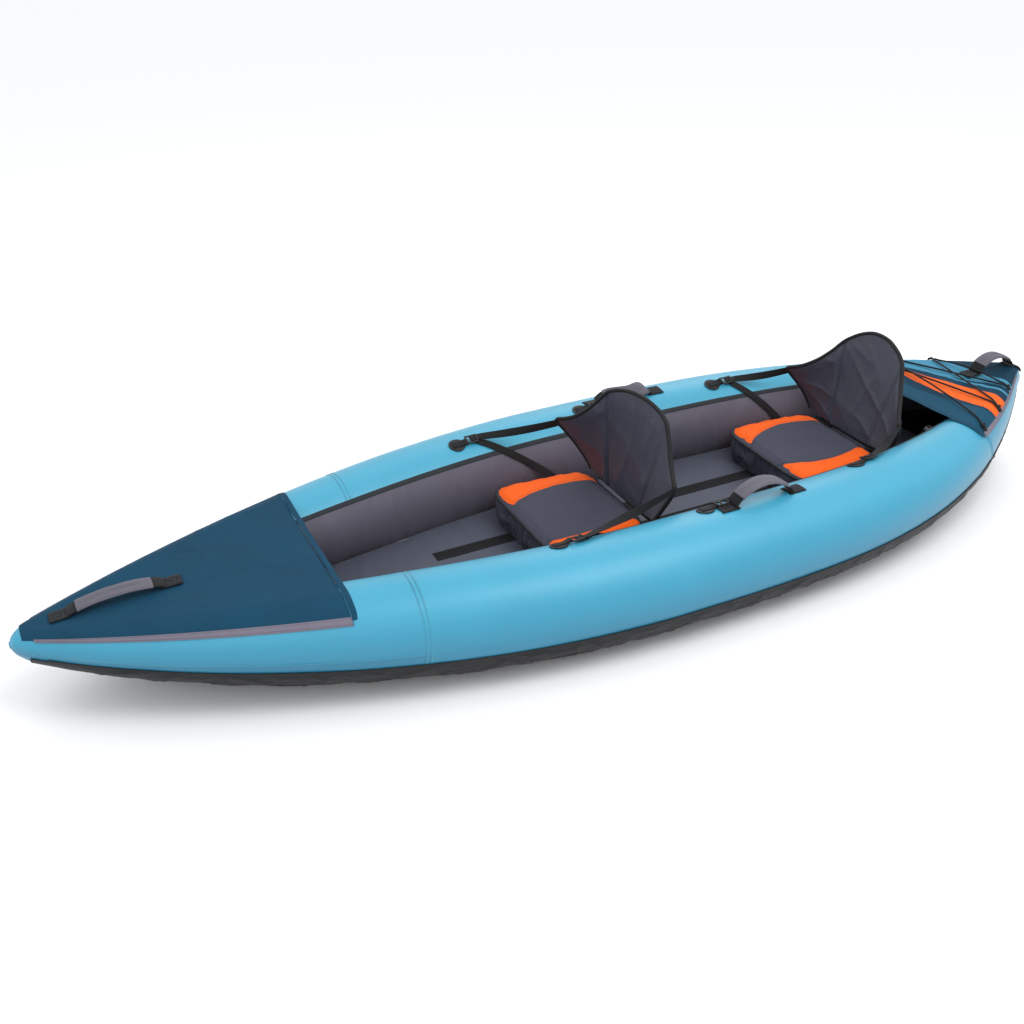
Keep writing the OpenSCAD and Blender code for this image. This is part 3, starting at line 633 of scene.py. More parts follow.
SKIN = {
    "tube": cloth("tube_fabric_blue", BLUE, rough=0.40, sheen=0.05, threads=1100, crease=0.25, vary=0.04,
                  coat=0.3, paint=tube_paint, crease_scale=9),
    "lining": cloth("lining_mauve", rgb(86, 82, 95), rough=0.62, threads=800, crease=0.7, vary=0.10,
                    stretch=(1.8, 0.5, 0.35)),
    "floor": cloth("floor_blue_grey", rgb(68, 72, 86), rough=0.6, threads=800, crease=0.7, vary=0.10,
                   crease_scale=14),
    "hull": cloth("hull_skin_black", rgb(15, 15, 18), rough=0.55, sheen=0.02, threads=700, crease=1.6,
                  vary=0.2, crease_scale=26, stretch=(0.6, 1.0, 1.6), weave_depth=0.0002),
    "bow_deck": cloth("bow_deck_teal", rgb(20, 64, 88), **DECK_CLOTH),
    "stern_deck": cloth("stern_deck_striped", rgb(16, 54, 74), paint=stripe_paint, **DECK_CLOTH),
    "hem": cloth("hem_tape_mauve", rgb(112, 106, 120), rough=0.65, sheen=0.05, threads=600, crease=0.4),
    "binding": cloth("binding_tape_dark", rgb(16, 26, 33), rough=0.6, sheen=0.03, threads=600, crease=0.4),
    "black_tape": cloth("edge_tape_black", rgb(17, 17, 20), rough=0.65, sheen=0.03, threads=600, crease=0.5),
    "grip": cloth("grip_grey", rgb(92, 90, 100), rough=0.7, sheen=0.1, threads=500, crease=0.8, vary=0.1),
    "back": cloth("backrest_charcoal", CHARCOAL, rough=0.42, sheen=0.12, threads=700, crease=0.9, vary=0.12,
                  gloss=0.5, stretch=(1, 1.2, 0.7)),
    "patch": cloth("patch_black", rgb(20, 20, 23), rough=0.5, sheen=0.02, threads=600, crease=0.5),
    "webbing": webbing_material("black_webbing", rgb(16, 16, 18)),
    "cord": webbing_material("bungee_black", rgb(14, 14, 16), rough=0.6, threads=260),
    "thread": webbing_material("sewing_thread", rgb(70, 72, 82), rough=0.7, threads=2500),
    "loop": webbing_material("hook_and_loop_black", rgb(12, 12, 14), rough=0.9, threads=900),
    "plastic": plastic("buckle_black", rgb(18, 18, 20)),
    "valve": plastic("valve_grey", rgb(34, 35, 39)),
    "film": plastic("bladder_film", rgb(205, 210, 212), rough=0.35),
}


def painted_node(name, key):
    """A CAD node whose shape is kept, with a finished material."""
    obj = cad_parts[name]
    obj.data.materials.clear()
    obj.data.materials.append(SKIN[key])


# ---------- camera, light and floor ----------


def add_camera():
    """The camera: its own right, up and back directions, and its place."""
    data = bpy.data.cameras.new("camera")
    cam = linked("camera", data)
    right = Vector((-0.90521823, 0.42388547, -0.03001772))
    up = Vector((-0.23537955, -0.44133838, 0.86591969))
    back = Vector((0.3538028, 0.79091184, 0.49928152))
    m = Matrix((right, up, back)).transposed().to_4x4()
    m.translation = (1.5341, 2.8078, 2.0045)
    cam.matrix_world = m
    data.lens = 41.87
    data.sensor_width = 36
    data.clip_start, data.clip_end = 0.05, 100
    bpy.context.scene.camera = cam


# Strength of the soft sky at the horizon and overhead
SKY_LOW, SKY_HIGH = 0.72, 1.2
LIGHT_SIZE = 2.6
FLOOR_SPAN = 150


def area_light(name, location, target, watts):
    data = bpy.data.lights.new(name, "AREA")
    data.shape = "SQUARE"
    data.size = LIGHT_SIZE
    data.energy = watts
    light = linked(name, data)
    light.location = location
    light.rotation_euler = (Vector(target) - Vector(location)).to_track_quat("-Z", "Y").to_euler()


def add_studio():
    """A pale floor out to the horizon, three soft lights and a sky that grows brighter overhead."""
    world = bpy.data.worlds.new("studio")
    bpy.context.scene.world = world
    world.use_nodes = True
    tree = world.node_tree
    back = tree.nodes["Background"]
    back.inputs[0].default_value = (0.96, 0.98, 1.0, 1)
    coords = tree.nodes.new("ShaderNodeTexCoord")
    split = tree.nodes.new("ShaderNodeSeparateXYZ")
    brighter = tree.nodes.new("ShaderNodeMapRange")
    for k, value in zip((1, 2, 3, 4), (-0.1, 1.0, SKY_LOW, SKY_HIGH)):
        brighter.inputs[k].default_value = value
    tree.links.new(coords.outputs["Generated"], split.inputs[0])
    tree.links.new(split.outputs[2], brighter.inputs[0])
    tree.links.new(brighter.outputs[0], back.inputs[1])
    area_light("key", (-1.0, 2.2, 4.4), (0, 0, 0.2), 95)
    area_light("fill", (3.4, 3.6, 2.6), (0.3, 0, 0.2), 20)
    area_light("rim", (-2.6, -3.4, 3.0), (0, 0, 0.2), 30)
    corners = [(x * FLOOR_SPAN, y * FLOOR_SPAN, -0.001) for x, y in ((-1, -1), (1, -1), (1, 1), (-1, 1))]
    floor = new_object("studio_floor", corners, [(0, 1, 2, 3)])
    m = Nodes("studio_floor_white")
    m.bsdf.inputs["Base Color"].default_value = (0.93, 0.935, 0.94, 1)
    m.bsdf.inputs["Roughness"].default_value = 0.9
    floor.data.materials.append(m.mat)
    bpy.context.scene.view_settings.view_transform = "Standard"


add_camera()
add_studio()

# ---------- tubes ----------

NOSE_STEPS = [math.sin(math.radians(a)) for a in (8, 18, 28, 38, 48, 57, 66, 74, 81, 86, 90)]
MAIN = np.linspace(-1.655, 1.655, 300)
NOSE_X = np.array([HALF - NOSE + NOSE * k for k in NOSE_STEPS])
HULL_X = np.concatenate([-NOSE_X[::-1], MAIN, NOSE_X])


def low_angle(x):
    """The cover's lower edge: under the bottom skin, and right round at the noses, where there is no skin."""
    return -26 - 74 * np.clip((np.abs(x) - 1.60) / 0.045, 0, 1)


def closed_tip(ring):
    """Two smaller rings that close a nose."""
    x = float(ring[0, 0])
    middle = np.array([x, 0, float(axis_z(x))])
    rings = []
    for size, ahead in ((0.5, 0.0004), (0.04, 0.0006)):
        rings.append(middle + (ring - middle) * size + np.array([math.copysign(ahead, x), 0, 0]))
    return np.stack(rings)


def tube_cover(name):
    share_v = np.linspace(0, 1, 56)
    low = low_angle(HULL_X)[:, None]
    angles = low + (BINDING_ANGLE - low) * share_v[None, :]
    xs = np.broadcast_to(HULL_X[:, None], angles.shape)
    points = tube(xs, angles)
    soft = noise_at(points, (3, 8, 8)) * 0.0012 + noise_at(points, (16, 22, 22), 4) * 0.00035
    soft *= np.clip((1.62 - np.abs(xs)) / 0.1, 0, 1)
    points = tube(xs, angles, soft)
    uv = np.stack([xs, np.radians(angles) * TUBE_RADIUS], -1)
    ends = [closed_tip(points[k]) for k in (0, -1)]
    points = np.concatenate([ends[0][::-1], points, ends[1]])
    uv = np.concatenate([uv[:1], uv[:1], uv, uv[-1:], uv[-1:]])
    return sheet_object(name, points, uv=uv)


both_sides(tube_cover, SKIN["tube"], "tube_fabric", "tube_skin", "outer_cover")


def inner_wall(name):
    xs = np.linspace(-1.55, 1.5, 420)
    angles = np.linspace(BINDING_ANGLE, 243, 26)
    points = tube(xs[:, None], angles[None, :])
    across = np.clip((angles - BINDING_ANGLE) / 20, 0, 1)[None, :]
    folds = ridges(points, (16, 2.5, 2.5), 7, 1.2) * 0.0035 + noise_at(points, (5, 5, 5), 3) * 0.002
    points = tube(xs[:, None], angles[None, :], folds * across)
    return sheet_object(name, points)


both_sides(inner_wall, SKIN["lining"], "lining_fabric", "inner_wall", "inner_cover")


def tape_on_tube(name, xs, middle, half, low, thick):
    """A tape along the tube with softly rounded edges."""
    angles = np.linspace(-1, 1, 9)
    rise = np.sqrt(np.maximum(1 - np.abs(angles) ** 5, 0))
    points = tube(xs[:, None], middle + angles[None, :] * half, low + thick * rise[None, :])
    return sheet_object(name, points, thick * 0.6)


BINDING_X = np.linspace(-1.362, 1.026, 260)


def binding(name):
    return tape_on_tube(name, BINDING_X, BINDING_ANGLE, 3.2, 0.0005, 0.0022)


def tape_stitches(xs, middle, apart, off):
    """Builds two rows of stitches along a tape, apart degrees from its middle."""
    def build(name):
        paths = [tube(xs, angle, off) for angle in (middle - apart, middle + apart)]
        outs = [tube(xs, angle, off + 0.01) for angle in (middle - apart, middle + apart)]
        return stitches(name, paths, [(out - path) / 0.01 for path, out in zip(paths, outs)])
    return build


both_sides(binding, SKIN["binding"], "binding_tape", "edge_binding", "binding")
BINDING_STITCHES = tape_stitches(BINDING_X, BINDING_ANGLE, 2, 0.0026)
both_sides(BINDING_STITCHES, SKIN["thread"], "binding_tape", "binding_stitches")


def ring_seam(name, x_at_side, per_degree, from_angle, to_angle, gap):
    """Two welded ridges round the tube, side by side."""
    angles = np.linspace(from_angle, to_angle, 60)
    parts = []
    for k in (-0.5, 0.5):
        xs = x_at_side + per_degree * angles + k * gap
        path = tube(xs, angles, 0.0003)
        out = tube(xs, angles, 0.0103) - path
        parts.append(swept_facing(name + str(k), path, flat_section(0.0045, 0.0018), out))
    return join(parts, name)


def panel_seams(name):
    bow = ring_seam(name + "_bow", 0.724817, -0.000117, -24, 129, 0.013)
    stern = ring_seam(name + "_stern", STERN_SEAM_X, 0.00072, -24, 129, 0.010)
    xs = np.linspace(0.735, 1.655, 90)
    path = tube(xs, -4, 0.0002)
    line = swept_facing(name + "_line", path, flat_section(0.003, 0.0014), tube(xs, -4, 0.0102) - path)
    return join([bow, stern, line], name)


def inner_seam(name):
    return ring_seam(name, 0.640, 0, 138, 238, 0.013)


SEAM_BLUE = cloth("tube_seam_blue", rgb(56, 140, 168), rough=0.4, threads=1100, crease=0.2, coat=0.15)
both_sides(panel_seams, SEAM_BLUE, "tube_fabric", "panel_seams")
both_sides(inner_seam, SKIN["lining"], "lining_fabric", "inner_seam")

# ---------- bottom skin ----------


def keel_z(x):
    tip = AXIS_Z + np.where(x > 0, BOW_RISE, STERN_RISE) - full_radius(np.sign(x) * HALF + 1e-9) - 0.003
    s = np.maximum((share(x) - 0.4) / 0.6, 0)
    return tip * s**2.2


def skin_section(x, v, off):
    """Point of the bottom skin: v from -1 at starboard's edge to 1 at port's."""
    a = np.abs(v)
    r = full_radius(x) + off
    ay = np.maximum(axis_y(x), 0.008)
    turn = np.clip((a - 0.4) / 0.6, 0, 1)
    angle = np.radians(-90 + (SKIN_ANGLE + 90) * turn)
    y = ay + r * np.cos(angle)
    z = axis_z(x) + r * np.sin(angle)
    inner = np.clip(a / 0.4, 0, 1)
    flat_y = ay * inner
    rise = np.clip((1 - inner) / 0.3, 0, 1)
    low = axis_z(x) - r
    keel = keel_z(x)
    flat_z = low + (keel - low + 0.0004) * (1 - np.cos(np.pi * rise)) / 2
    y = np.where(a < 0.4, flat_y, y)
    z = np.where(a < 0.4, flat_z, z)
    return np.stack(np.broadcast_arrays(x, np.sign(v) * y, z), -1)


def bottom_skin():
    xs = np.concatenate([[-1.656, -1.65], np.linspace(-1.64, 1.64, 420), [1.652, 1.66]])
    v = np.linspace(-1, 1, 121)
    X, V = np.meshgrid(xs, v, indexing="ij")
    base = skin_section(X, V, 0.0022)
    edge = np.clip((1 - np.abs(V)) / 0.08, 0, 1) * np.clip((1.62 - np.abs(X)) / 0.15, 0, 1)
    side = np.clip((np.abs(V) - 0.45) / 0.2, 0, 1)
    folds = ridges(base, (9, 14, 20), 11, 1.6) * 0.005 + ridges(base, (22, 30, 36), 5, 1.4) * 0.0022
    folds += (noise_at(base, (6, 8, 8), 2) + 1) * 0.0012
    lift = 0.0005 + folds * edge * (0.1 + 0.9 * side)
    points = skin_section(X, V, 0.0022 + lift)
    points[..., 2] = np.maximum(points[..., 2], 0.0003)
    obj = sheet_object("bottom_skin", points, 0.0012, flip=True)
    place(obj, SKIN["hull"], "hull", "hull_skin", "hull_bottom")


bottom_skin()


def skin_edge(name):
    """The turned edge of the bottom skin, welded to the tube."""
    xs = np.linspace(-1.62, 1.62, 300)
    path = tube(xs, SKIN_ANGLE + 0.3, 0.0026)
    return swept_facing(name, path, flat_section(0.009, 0.0022), tube(xs, SKIN_ANGLE, 0.0126) - path)


both_sides(skin_edge, SKIN["hull"], "hull_skin", "skin_edge")

# ---------- floor ----------


def floor_half(x):
    return np.minimum(wall_y(x, FLOOR_Z), np.maximum(axis_y(x), 0.008) * 0.74 + 0.02) + 0.004


def floor_cover():
    xs = np.linspace(-1.3, 1.28, 300)
    v = np.linspace(-1, 1, 90)
    X, V = np.meshgrid(xs, v, indexing="ij")
    half = floor_half(X)
    points = np.stack([X, V * half, np.full_like(X, FLOOR_Z)], -1)
    edge = np.clip((1 - np.abs(V)) * half / 0.022, 0, 1)
    soft = noise_at(points, (5, 5, 5), 9) * 0.0022 + ridges(points, (14, 7, 7), 21, 1.5) * 0.0032
    beside = np.clip((np.abs(points[..., 1]) - 0.1) / 0.05, 0, 1)
    free = beside + np.clip((np.abs(X + 0.2) - 0.72) / 0.1, 0, 1)
    points[..., 2] += (soft - 0.0008) * np.clip(free, 0.12, 1) * edge - 0.010 * (1 - edge) ** 2
    obj = sheet_object("floor_top", points, flip=True)
    place(obj, SKIN["floor"], "hull", "lining_fabric", "floor_cover")


floor_cover()


def strip_stitches(name):
    xs = np.linspace(-0.90, 0.503, 60)
    paths, normals = [], []
    for off in (-0.0195, 0.0195):
        paths.append(np.stack([xs, np.full_like(xs, 0.065 + off), np.full_like(xs, 0.1052)], -1))
        normals.append(np.tile([0, 0, 1.0], (len(xs), 1)))
    return stitches(name, paths, normals, pitch=0.007, length=0.0045)


both_sides(strip_stitches, SKIN["thread"], "hook_loop", "strip_stitches")
for side in ("port", "starboard"):
    painted_node(side + "_floor_strip", "loop")
    painted_node(side + "_tube_bladder", "film")
painted_node("floor_bladder", "film")

# ---------- decks ----------


def deck_rows(xs, off, shift=None):
    """A deck's points: v from -1 at the starboard hem over the tubes to 1 at the port hem."""
    v = np.linspace(-1, 1, 101)
    X, V = np.meshgrid(xs, v, indexing="ij")
    a = np.abs(V)
    if shift is not None:
        X = X + shift(X, a)
    angle = np.radians(90 - (90 - HEM_ANGLE - 0.5) * np.clip((a - 0.45) / 0.55, 0, 1))
    r = radius(X) + off
    ay = axis_y(X)
    y = ay + r * np.cos(angle)
    flat = np.clip(a / 0.45, 0, 1)
    y = np.where(a < 0.45, ay * flat, y)
    z = axis_z(X) + r * np.sin(angle)
    return np.stack([X, np.sign(V) * y, z], -1), V


def deck_object(name, xs, shift, seed, sag):
    points, v = deck_rows(xs, DECK_OFF, shift)
    ay = axis_y(points[..., 0])
    span = np.clip(1 - (np.abs(v) / 0.5) ** 2, 0, 1)
    edge = np.clip((1 - np.abs(v)) / 0.12, 0, 1)
    folds = ridges(points, (7, 9, 5), seed, 1.6) * 0.004 + noise_at(points, (9, 9, 9), seed + 2) * 0.0015
    folds += ridges(points, (13, 20, 12), seed + 5, 1.3) * 0.0016
    lift = folds * edge * np.clip(ay / 0.05, 0.25, 1)
    raised = np.where(np.abs(v) < 0.45, lift * 0.7, lift * 0.35)
    points[..., 2] += raised - sag * span * np.clip(ay / 0.12, 0, 1)
    return sheet_object(name, points, flip=True), points


BOW_DECK_X = np.concatenate([np.linspace(BOW_DECK_EDGE, 1.60, 110), np.linspace(1.606, 1.668, 20)])
STERN_DECK_X = np.concatenate([np.linspace(-1.672, -1.61, 20), np.linspace(-1.604, STERN_DECK_EDGE, 80)])


def bulge(x, a):
    """The stern deck's free edge reaches further forward towards the centreline."""
    near = np.clip((x - STERN_DECK_EDGE + 0.15) / 0.15, 0, 1)
    return 0.052 * near * (1 - a**2)


def add_deck(name, xs, key, shift, seed, sag, node):
    obj, points = deck_object(name, xs, shift, seed, sag)
    place(obj, SKIN[key], "hull", "deck_fabric", node)
    return points


bow_deck = add_deck("bow_deck_cover", BOW_DECK_X, "bow_deck", None, 31, 0.005, "bow_deck")
stern_deck = add_deck("stern_deck_cover", STERN_DECK_X, "stern_deck", bulge, 47, 0.004, "stern_deck")


def deck_edge_hem(name, row, ahead):
    """The turned and stitched free edge of a deck."""
    path = resample(row, 160)
    _, w, n = frames_along(path)
    return swept(name, path + np.array([0, 0, 0.0006]) - w * ahead, flat_section(0.016, 0.0014), w, n)


for name, row, ahead in (("bow_deck_edge", bow_deck[0], -0.010), ("stern_deck_edge", stern_deck[-1], 0.010)):
    place(deck_edge_hem(name, row, ahead), SKIN["bow_deck"], "hull", "deck_fabric")


def hem(xs):
    def build(name):
        return tape_on_tube(name, xs, HEM_ANGLE, 5.2, 0.0028, 0.0022)
    return build


HEM_X = {"bow": np.linspace(BOW_DECK_EDGE, 1.640, 150), "stern": np.linspace(-1.640, STERN_DECK_EDGE, 100)}
for end, xs in HEM_X.items():
    port, starboard = both_sides(hem(xs), SKIN["hem"], "hem_tape", end + "_deck_hem_tape")
    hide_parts(end + "_deck_hem")
    both_sides(tape_stitches(xs, HEM_ANGLE, 3.0, 0.0052), SKIN["thread"], "hem_tape", end + "_hem_stitches")

# ---------- deck bungee ----------

# The loops that hold the bungee: x, side and angle on the tube; then the order in which it passes them
LOOPS = [(-1.243, 1, 60), (-1.383, 1, 60), (-1.520, 1, 65),
         (-1.459, -1, 68), (-1.317, -1, 62), (-1.247, -1, 60)]
LACING = [0, 4, 2, 3, 1, 5]
BUNGEE_OFF = 0.0026 + 0.0052
BUMPS = [0.011, 0.001, 0.011, 0.001, 0.003]


def over_tube(i, j, t):
    (x, side, a), (xj, _, _) = LOOPS[i], LOOPS[j]
    return tube(x + (xj - x) * 0.12 * t, a + (90 - a) * t, BUNGEE_OFF, side)


def bungee_path():
    points = []
    for k, bump in enumerate(BUMPS):
        i, j = LACING[k], LACING[k + 1]
        a, b = over_tube(i, j, 1), over_tube(j, i, 1)
        points += [over_tube(i, j, 0), over_tube(i, j, 0.5), a]
        for t in (0.2, 0.4, 0.6, 0.8):
            points.append(a + (b - a) * t + np.array([0, 0, bump * math.sin(math.pi * t)]))
        points += [b, over_tube(j, i, 0.5)]
    return np.array(points + [over_tube(LACING[5], LACING[4], 0)])


def knot(name, centre, d, n):
    """A stopper knot: the cord wound twice round itself."""
    d, n = np.asarray(d) / np.linalg.norm(d), np.asarray(n) / np.linalg.norm(n)
    w = np.cross(n, d)
    t = np.linspace(0, 1, 60)
    a = t * 2 * np.pi * 2.4
    turns = np.outer(np.cos(a), w) + np.outer(np.sin(a), n)
    path = centre + np.outer((t - 0.5) * 0.011, d) + 0.0042 * turns
    dd, ww, nn = frames_along(path, np.tile(d, (60, 1)))
    return swept(name, path, round_section(0.0027, 8), ww, nn)


def bungee():
    cord = swept_facing("bungee_cord", smooth_path(bungee_path(), 700), round_section(0.003, 10))
    knots = []
    for k, i in enumerate((0, 5)):
        x, side, a = LOOPS[i]
        at = tube(x, a - 3, BUNGEE_OFF, side)
        out = tube(x, a, 0.05, side) - tube(x, a, 0, side)
        knots.append(knot("knot%d" % k, at, tube(x, a + 4, BUNGEE_OFF, side) - at, out))
    place(join([cord] + knots, "bungee_cord"), SKIN["cord"], "hull", "bungee_cord", "deck_bungee")


def bungee_tags():
    """Webbing tags sewn to the hem, each folded over the bungee's turn."""
    profile = [(-12, 0.0052), (-8, 0.0056), (-4.2, 0.0072), (-1.8, 0.0118), (0.4, 0.0124), (2.0, 0.0095),
               (2.6, 0.0062)]
    side_dir = np.tile([1.0, 0, 0], (24, 1))
    tags = []
    for k, (x, side, a) in enumerate(LOOPS):
        path = smooth_path([tube(x, a + turn, off, side) for turn, off in profile], 24)
        d, _, _ = frames_along(path)
        up = unit(np.cross(d, side_dir))
        tags.append(swept("tag%d" % k, path, flat_section(0.016, 0.0013), side_dir, up))
    place(join(tags, "bungee_tags"), SKIN["webbing"], "hull", "webbing", "bungee_loops")


bungee()
bungee_tags()

# ---------- handles ----------


def handle(fore, aft, crown, grip, side=0, lean=0):
    """Both feet's x, the height, the grip's start and end, the side of the hull, which is 0 on a deck, and
    the lean outboard in degrees."""
    return SimpleNamespace(fore=fore, aft=aft, crown=crown, grip=grip, side=side, lean=lean)


# The starboard one lies lower and further inboard than in the CAD
HANDLES = {
    "bow": handle(1.548, 1.296, 0.020, (0.1, 0.88)),
    "stern": handle(-1.500, -1.652, 0.046, (0.12, 0.88)),
    "port": handle(-0.228, -0.424, 0.054, (0.1, 0.9), 1),
    "starboard": handle(-0.228, -0.424, 0.036, (0.1, 0.9), -1, -54),
}
SIDE_HANDLE_ANGLE = 95
FOOT_LIFT = 0.0042


def handle_feet(h):
    feet = (h.fore, h.aft)
    if h.side == 0:
        return [np.array([x, 0, float(deck_z(x)) + 0.0004 + FOOT_LIFT]) for x in feet]
    return [tube(x, SIDE_HANDLE_ANGLE, FOOT_LIFT, h.side) for x in feet]


def handle_lean(h, t):
    return np.radians(h.lean) * np.maximum(np.sin(np.pi * np.clip(t, 0, 1)), 0)


def handle_line(h, t):
    a, b = handle_feet(h)
    t = np.asarray(t, float)
    arch = h.crown * np.maximum(np.sin(np.pi * np.clip(t, 0, 1)), 0) ** 0.62
    lean = handle_lean(h, t)
    rise = np.stack([0 * t, h.side * np.sin(lean), np.cos(lean)], -1) * arch[:, None]
    return a + (b - a) * t[:, None] + rise


def handle_frame(h, t):
    """A handle's centreline with the directions across it and out of it."""
    path = handle_line(h, t)
    d = unit(np.gradient(path, axis=0))
    lean = handle_lean(h, t)
    side = 1 if h.side == 0 else h.side
    across = np.stack([0 * t, np.cos(lean), -side * np.sin(lean)], -1)
    across = unit(across - d * (across * d).sum(1, keepdims=True))
    out = np.cross(d, across)
    return path, across, out * np.where(out[:, 2:] < 0, -1, 1)


def handle_band(name, h, start, end, steps, section):
    path, across, out = handle_frame(h, np.linspace(start, end, steps))
    return swept(name, path, section, across, out)


def pad_section(width, thick, n=28):
    """A soft flat sleeve's section: two layers sewn along both edges."""
    pts = []
    for a in np.linspace(0, 2 * np.pi, n, endpoint=False):
        c, s = math.cos(a), math.sin(a)
        x = width / 2 * math.copysign(abs(c) ** 0.55, c)
        y = thick / 2 * math.copysign(abs(s) ** 0.75, s) * (1 - 0.3 * abs(c) ** 3.2)
        pts.append((x, y))
    return pts


def add_grip(name, h):
    """The padded sleeve with its rows of stitches."""
    body = name + "_handle"
    start, end = h.grip
    grip = handle_band(name + "_handle_sleeve", h, start, end, 50, pad_section(0.056, 0.0105))
    co = per_vertex(grip)
    co[:, 2] += noise_at(co, (30, 22, 30), 3) * 0.0010
    set_coordinates(grip, co)
    place(grip, SKIN["grip"], body, "grip_fabric", name + "_handle_grip")
    line, across, n = handle_frame(h, np.linspace(start + 0.03, end - 0.03, 60))
    rows = [line + n * 0.0052 + across * off for off in (-0.0035, 0.0035)]
    edges = [line + n * 0.0032 + across * off for off in (-0.0245, 0.0245)]
    seams = stitches(name + "_sleeve_stitches", rows + edges, [n] * 4, r=0.0005)
    place(seams, SKIN["thread"], body, "grip_fabric")


def add_handle(name, h):
    add_grip(name, h)
    fore, aft = handle_feet(h)
    for part, start, foot, hold in (("fore", 0.0, fore, h.grip[0]), ("aft", 1.0, aft, h.grip[1])):
        label = "%s_handle_strap_%s" % (name, part)
        strap = handle_band(label, h, start, 0.5, 40, flat_section(0.050, 0.0018))
        until = foot + (handle_line(h, [hold])[0] - foot) * np.array([1, 0, 0.0])
        bent(strap, SKIN["webbing"], name + "_handle", foot, until, "webbing",
             *([name + "_handle_webbing"] if part == "fore" else []))
    for part, foot, way in (("fore", fore, 1), ("aft", aft, -1)):
        add_tab("%s_handle_tab_%s" % (name, part), h, foot, way)


def add_tab(name, h, foot, way):
    """The sewn-down end of a handle, with its box of stitches."""
    xs = foot[0] + way * np.linspace(-0.012, 0.046, 24)
    v = np.linspace(-0.025, 0.025, 13)
    if h.side == 0:
        z = deck_z(xs)[:, None] + 0.0024 + 0 * v[None, :]
        pts = np.stack([np.broadcast_to(xs[:, None], z.shape), np.broadcast_to(v[None, :], z.shape), z], -1)
        lift = np.array([0, 0, 0.0016])
    else:
        pts = tube(xs[:, None], SIDE_HANDLE_ANGLE - np.degrees(v / TUBE_RADIUS)[None, :], 0.0024, h.side)
        lift = np.array([0, 0, 0.0009])
    tab = outward(sheet_object(name, pts, 0.0016))
    place(tab, SKIN["webbing"], "hull", "webbing",
          *(["handle_tabs"] if name == "bow_handle_tab_fore" else []))
    box = ([pts[i, 2] for i in range(8, 22)] + [pts[21, j] for j in range(2, 11)]
           + [pts[i, 10] for i in range(21, 7, -1)] + [pts[8, j] for j in range(10, 1, -1)])
    cross = [np.linspace(pts[8, 2], pts[21, 10], 12), np.linspace(pts[8, 10], pts[21, 2], 12)]
    paths = [row + lift for row in [np.array(box)] + cross]
    normal = [np.tile([0, 0, 1.0], (len(p), 1)) for p in paths]
    thread = stitches(name + "_stitches", paths, normal, pitch=0.005, length=0.0036, r=0.0006)
    place(thread, SKIN["thread"], "hull", "webbing")


for name, h in HANDLES.items():
    add_handle(name, h)

# ---------- strap anchors and buckles ----------

# Each anchor's x, side and angle on the tube
ANCHORS = {
    "front_port": (0.298, 1, 106), "front_starboard": (0.308, -1, 108),
    "rear_port": (-0.706, 1, 108), "rear_starboard": (-0.654, -1, 107),
    "middle_port": (-0.152, 1, 103), "middle_starboard": (-0.152, -1, 103),
}


def anchor_frame(a, ahead, lift):
    """Matrix at an anchor: local x runs aft, y across the tube and z out of it."""
    x, side, angle = a
    at = tube(x - ahead, angle, lift, side)
    out = tube(x - ahead, angle, lift + 1, side) - at
    aft = np.array([-1.0, 0, 0])
    across = np.cross(out, aft)
    m = Matrix((aft, across, out)).transposed().to_4x4()
    m.translation = Vector(at)
    return m


def patch_rings(name, a):
    """Two rings of stitches round a patch."""
    x, side, angle = a
    t = np.linspace(0, 2 * np.pi, 60)
    paths, normals = [], []
    for r in (0.0235, 0.0135):
        xs, angles = x + r * np.cos(t), angle + np.degrees(r * np.sin(t) / TUBE_RADIUS)
        p = tube(xs, angles, 0.0044, side)
        paths.append(p)
        normals.append(tube(xs, angles, 1.0044, side) - p)
    return stitches(name, paths, normals, pitch=0.005, length=0.0035, r=0.0005)


def anchor_loop(name, a):
    """Webbing sewn to the patch that runs aft round the buckle's bar and back."""
    m = anchor_frame(a, 0, 0.0045)
    run = [(-0.016, 0.0006), (0.0, 0.0008), (0.016, 0.0010), (0.028, 0.0042), (0.0345, 0.0062),
           (0.0375, 0.0044), (0.0355, 0.0014), (0.028, 0.0006), (0.018, 0.0002)]
    path = smooth_path([(x, 0, z) for x, z in run], 40)
    d, _, _ = frames_along(path)
    side = np.tile([0, 1.0, 0], (40, 1))
    loop = swept(name, path, flat_section(0.025, 0.0015), side, np.cross(d, side))
    loop.data.transform(m)
    return outward(loop)


